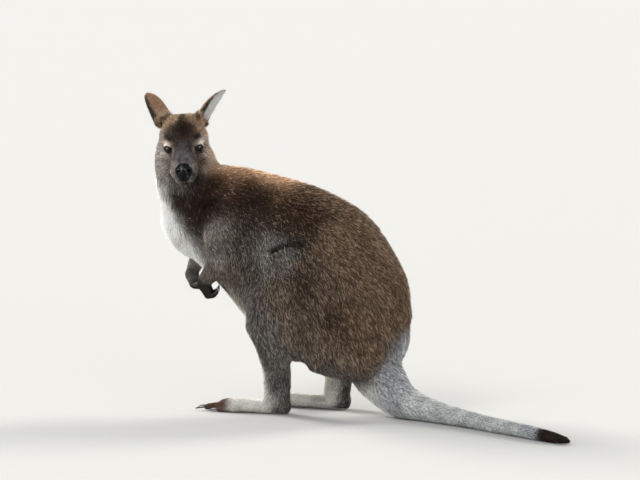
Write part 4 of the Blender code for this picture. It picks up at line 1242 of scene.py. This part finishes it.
def grow(name, skin_points, skin_normals, triangles, tree, draw):
    """One piece of the coat over some triangles of the skin."""
    _, spacing, most, long, _ = COATS[name]
    maps = unwrapped(skin_points, triangles)
    face, share, roots = sown(skin_points, triangles, spacing, most, draw)
    normals = unit((skin_normals[triangles[face]] * share[..., None]).sum(1))
    patches = (maps[face] * share[..., None]).sum(1)
    keep = (bare_share(roots, normals) < BARE_LIMIT) & (fold_share(roots) < FOLD_LIMIT)
    roots, normals, patches = roots[keep], normals[keep], patches[keep]
    facts = coat_facts(roots)
    if name == "fur_ears":
        facts = ear_facts(roots, normals, facts)
    lie, length, depth, width, colour, pale, dark = facts
    lie = combed(roots, normals, lie, long, draw)
    length = length * draw.uniform(*LENGTHS, len(roots))
    ahead = [fold_share(roots + lie * (step * length)[:, None]) for step in (0.3, 0.6, 0.9)]
    crossing = np.max(ahead, 0)  # tufts that would cross the fold stop short
    length = length * (1.0 - 0.86 * crossing)
    depth = depth * draw.uniform(*DEPTHS, len(roots))
    paths, outs = tuft_paths(tree, roots, normals, lie, length, depth, long, draw)
    tips = paths[:, -1]
    # painted shade: tips that end in the fold are darkened
    colour = colour * (1.0 - 0.96 * fold_share(tips) ** 0.6)[:, None]
    shape = (0.8, 1.15) if long else (1.0,)
    widths = width[:, None] * np.array(shape) * draw.uniform(*WIDTHS, (len(roots), 1))
    tones = tuft_tones(tips, lie, colour, pale, dark, crossing, long, draw)
    return tuft_mesh(name, paths, unit(np.cross(normals, lie)), outs, widths, tones, patches, normals)


def dress(skin, find_node):
    """Grow every piece of the coat on the skin."""
    points, triangles, _ = arrays(skin.data)
    normals = normals_of(points, triangles)
    owner = find_node(points[triangles].mean(1))
    tree = BVHTree.FromPolygons(points.tolist(), triangles.tolist())
    for number, (name, (slot, _, _, _, nodes)) in enumerate(COATS.items()):
        draw = np.random.default_rng(SEED + number)
        wanted = np.isin(owner, [FLESH.index(node) for node in nodes])
        piece = grow(name, points, normals, triangles[wanted], tree, draw)
        piece.data.materials.append(coat_material(slot + "_tufts"))
        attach(piece, "root")


def finish_skin(skin):
    """Colour the skin and hand it over; on the ears it is darker than their coat."""
    points, triangles, _ = arrays(skin.data)
    normals = normals_of(points, triangles)
    colour, bare = skin_colour(points, normals)
    on_ear = np.zeros(len(points), bool)
    for side in SIDES:
        base, along, _, _ = ear_axes(side)
        on_ear |= (points - base) @ along > 0.06 * EAR_LENGTH
    on_ear &= to_head(points)[:, 2] > 0.03
    facts = ear_facts(points, normals, coat_facts(points))
    colour[on_ear] = facts[4][on_ear] * 0.8
    paint(skin.data, "tint", colour)
    paint(skin.data, "bare", bare)
    skin.data.materials.clear()
    skin.data.materials.append(skin_material())
    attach(skin, "root")
    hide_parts(*FLESH)


# ---------------- eyes and claws
EYE_DARK, IRIS = (0.006, 0.004, 0.004), (0.014, 0.009, 0.007)
CORNEA_BULGE = 0.045  # as a share of the eye's radius
CLAW_SWELL = 0.0002  # makes up for what the smoothing takes off


def make_eyes():
    material = eye_material()
    for side in SIDES:
        mesh = bpy.data.meshes.new("eyeball_" + side)
        with editing(mesh) as form:
            bmesh.ops.create_uvsphere(form, u_segments=64, v_segments=48, radius=1.0)
        points, _, _ = arrays(mesh)
        ahead = points @ gaze(side)
        iris = ease(0.66, 0.72, ahead) * (1 - ease(0.86, 0.9, ahead))
        colour = painted(EYE_DARK, (IRIS, iris))
        bulge = EYE_RADIUS * (1.0 + CORNEA_BULGE * ease(0.72, 0.92, ahead))
        set_points(mesh, from_head(points * bulge[:, None] + eye_centre(side)))
        mesh.shade_smooth()
        paint(mesh, "tint", colour)
        mesh.materials.append(material)
        eyeball = linked("eyeball_" + side, mesh)
        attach(eyeball, "root")
        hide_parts("eye_" + side)


def make_claws():
    material = claw_material()
    for kind in ("hand", "foot"):
        nodes = [name for name in CLAWS if name.startswith("claw_" + kind)]
        claws = joined_copies("claws_" + kind, nodes, CLAW_SWELL)
        smooth = claws.modifiers.new("smooth", "SUBSURF")
        smooth.levels = smooth.render_levels = 2
        evaluated(claws)
        claws.data.shade_smooth()
        claws.data.materials.clear()
        claws.data.materials.append(material)
        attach(claws, "root")
        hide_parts(*nodes)


# ---------------- stage and camera
CAMERA_TARGET = Vector((-0.1458, 0.1244, 0.3577))
CAMERA_AZIMUTH = math.radians(20.0)
CAMERA_ELEVATION = math.radians(6.5)
CAMERA_DISTANCE = 12.0
FLOOR_HALF = 60.0
# azimuth, elevation and spread in degrees, strength, colour
SUNS = (
    (-25, 46, 22, 0.98, (1.0, 0.98, 0.95)),
    (45, 14, 24, 0.34, (1.0, 0.99, 0.98)),
    (4, 8, 12, 0.34, (1.0, 0.99, 0.98)),
    (152, 34, 22, 2.3, (1.0, 0.97, 0.92)),
    (-112, 28, 22, 3.6, (1.0, 0.97, 0.93)),
    (-30, 13, 17, 8.5, (0.88, 0.94, 1.0)),
    (62, 13, 17, 8.5, (0.88, 0.94, 1.0)),
)
GLINTS = 2  # the last suns only shine back from the eyes and nose


def aim(item, place, target):
    """Put a lamp or camera at a place, turned to a target."""
    item.location = place
    item.rotation_euler = (target - place).to_track_quat("-Z", "Y").to_euler()


def toward(azimuth, elevation):
    """Unit vector from the animal, azimuth 0 at -Y and 90 at +X."""
    flat = math.cos(elevation)
    return Vector((math.sin(azimuth) * flat, -math.cos(azimuth) * flat, math.sin(elevation)))


def make_stage():
    corners = [(x * FLOOR_HALF, y * FLOOR_HALF, 0) for x, y in ((-1, -1), (1, -1), (1, 1), (-1, 1))]
    floor = mesh_object("floor", corners, [(0, 1, 2, 3)])
    material = bpy.data.materials.new("paper")
    material.use_nodes = True
    lit = material.node_tree.nodes["Principled BSDF"]
    lit.inputs["Base Color"].default_value = (0.47, 0.47, 0.46, 1)
    lit.inputs["Roughness"].default_value = 0.9
    lit.inputs["Specular IOR Level"].default_value = 0.1
    floor.data.materials.append(material)
    bpy.context.scene.view_settings.view_transform = "Standard"
    world = bpy.data.worlds.new("studio")
    bpy.context.scene.world = world
    world.use_nodes = True
    sky = world.node_tree.nodes["Background"]
    sky.inputs["Color"].default_value = (0.84, 0.86, 0.88, 1)
    sky.inputs["Strength"].default_value = 0.74
    for number, (azimuth, elevation, spread, strength, colour) in enumerate(SUNS):
        light = bpy.data.lights.new("soft", "SUN")
        light.angle, light.energy, light.color = math.radians(spread), strength, colour
        lamp = linked("soft", light)
        aim(lamp, toward(math.radians(azimuth), math.radians(elevation)) * 5.0, Vector((0, 0, 0)))
        lamp.visible_diffuse = number < len(SUNS) - GLINTS


def make_camera():
    lens = bpy.data.cameras.new("camera")
    lens.lens, lens.sensor_width, lens.clip_end = 320.6, 36.0, 200.0
    camera = linked("camera", lens)
    aim(camera, CAMERA_TARGET + toward(CAMERA_AZIMUTH, CAMERA_ELEVATION) * CAMERA_DISTANCE, CAMERA_TARGET)
    bpy.context.scene.camera = camera


FIND_NODE = node_finder()
HIDE = make_skin(FIND_NODE)
make_eyes()
make_claws()
dress(HIDE, FIND_NODE)
finish_skin(HIDE)
make_stage()
make_camera()
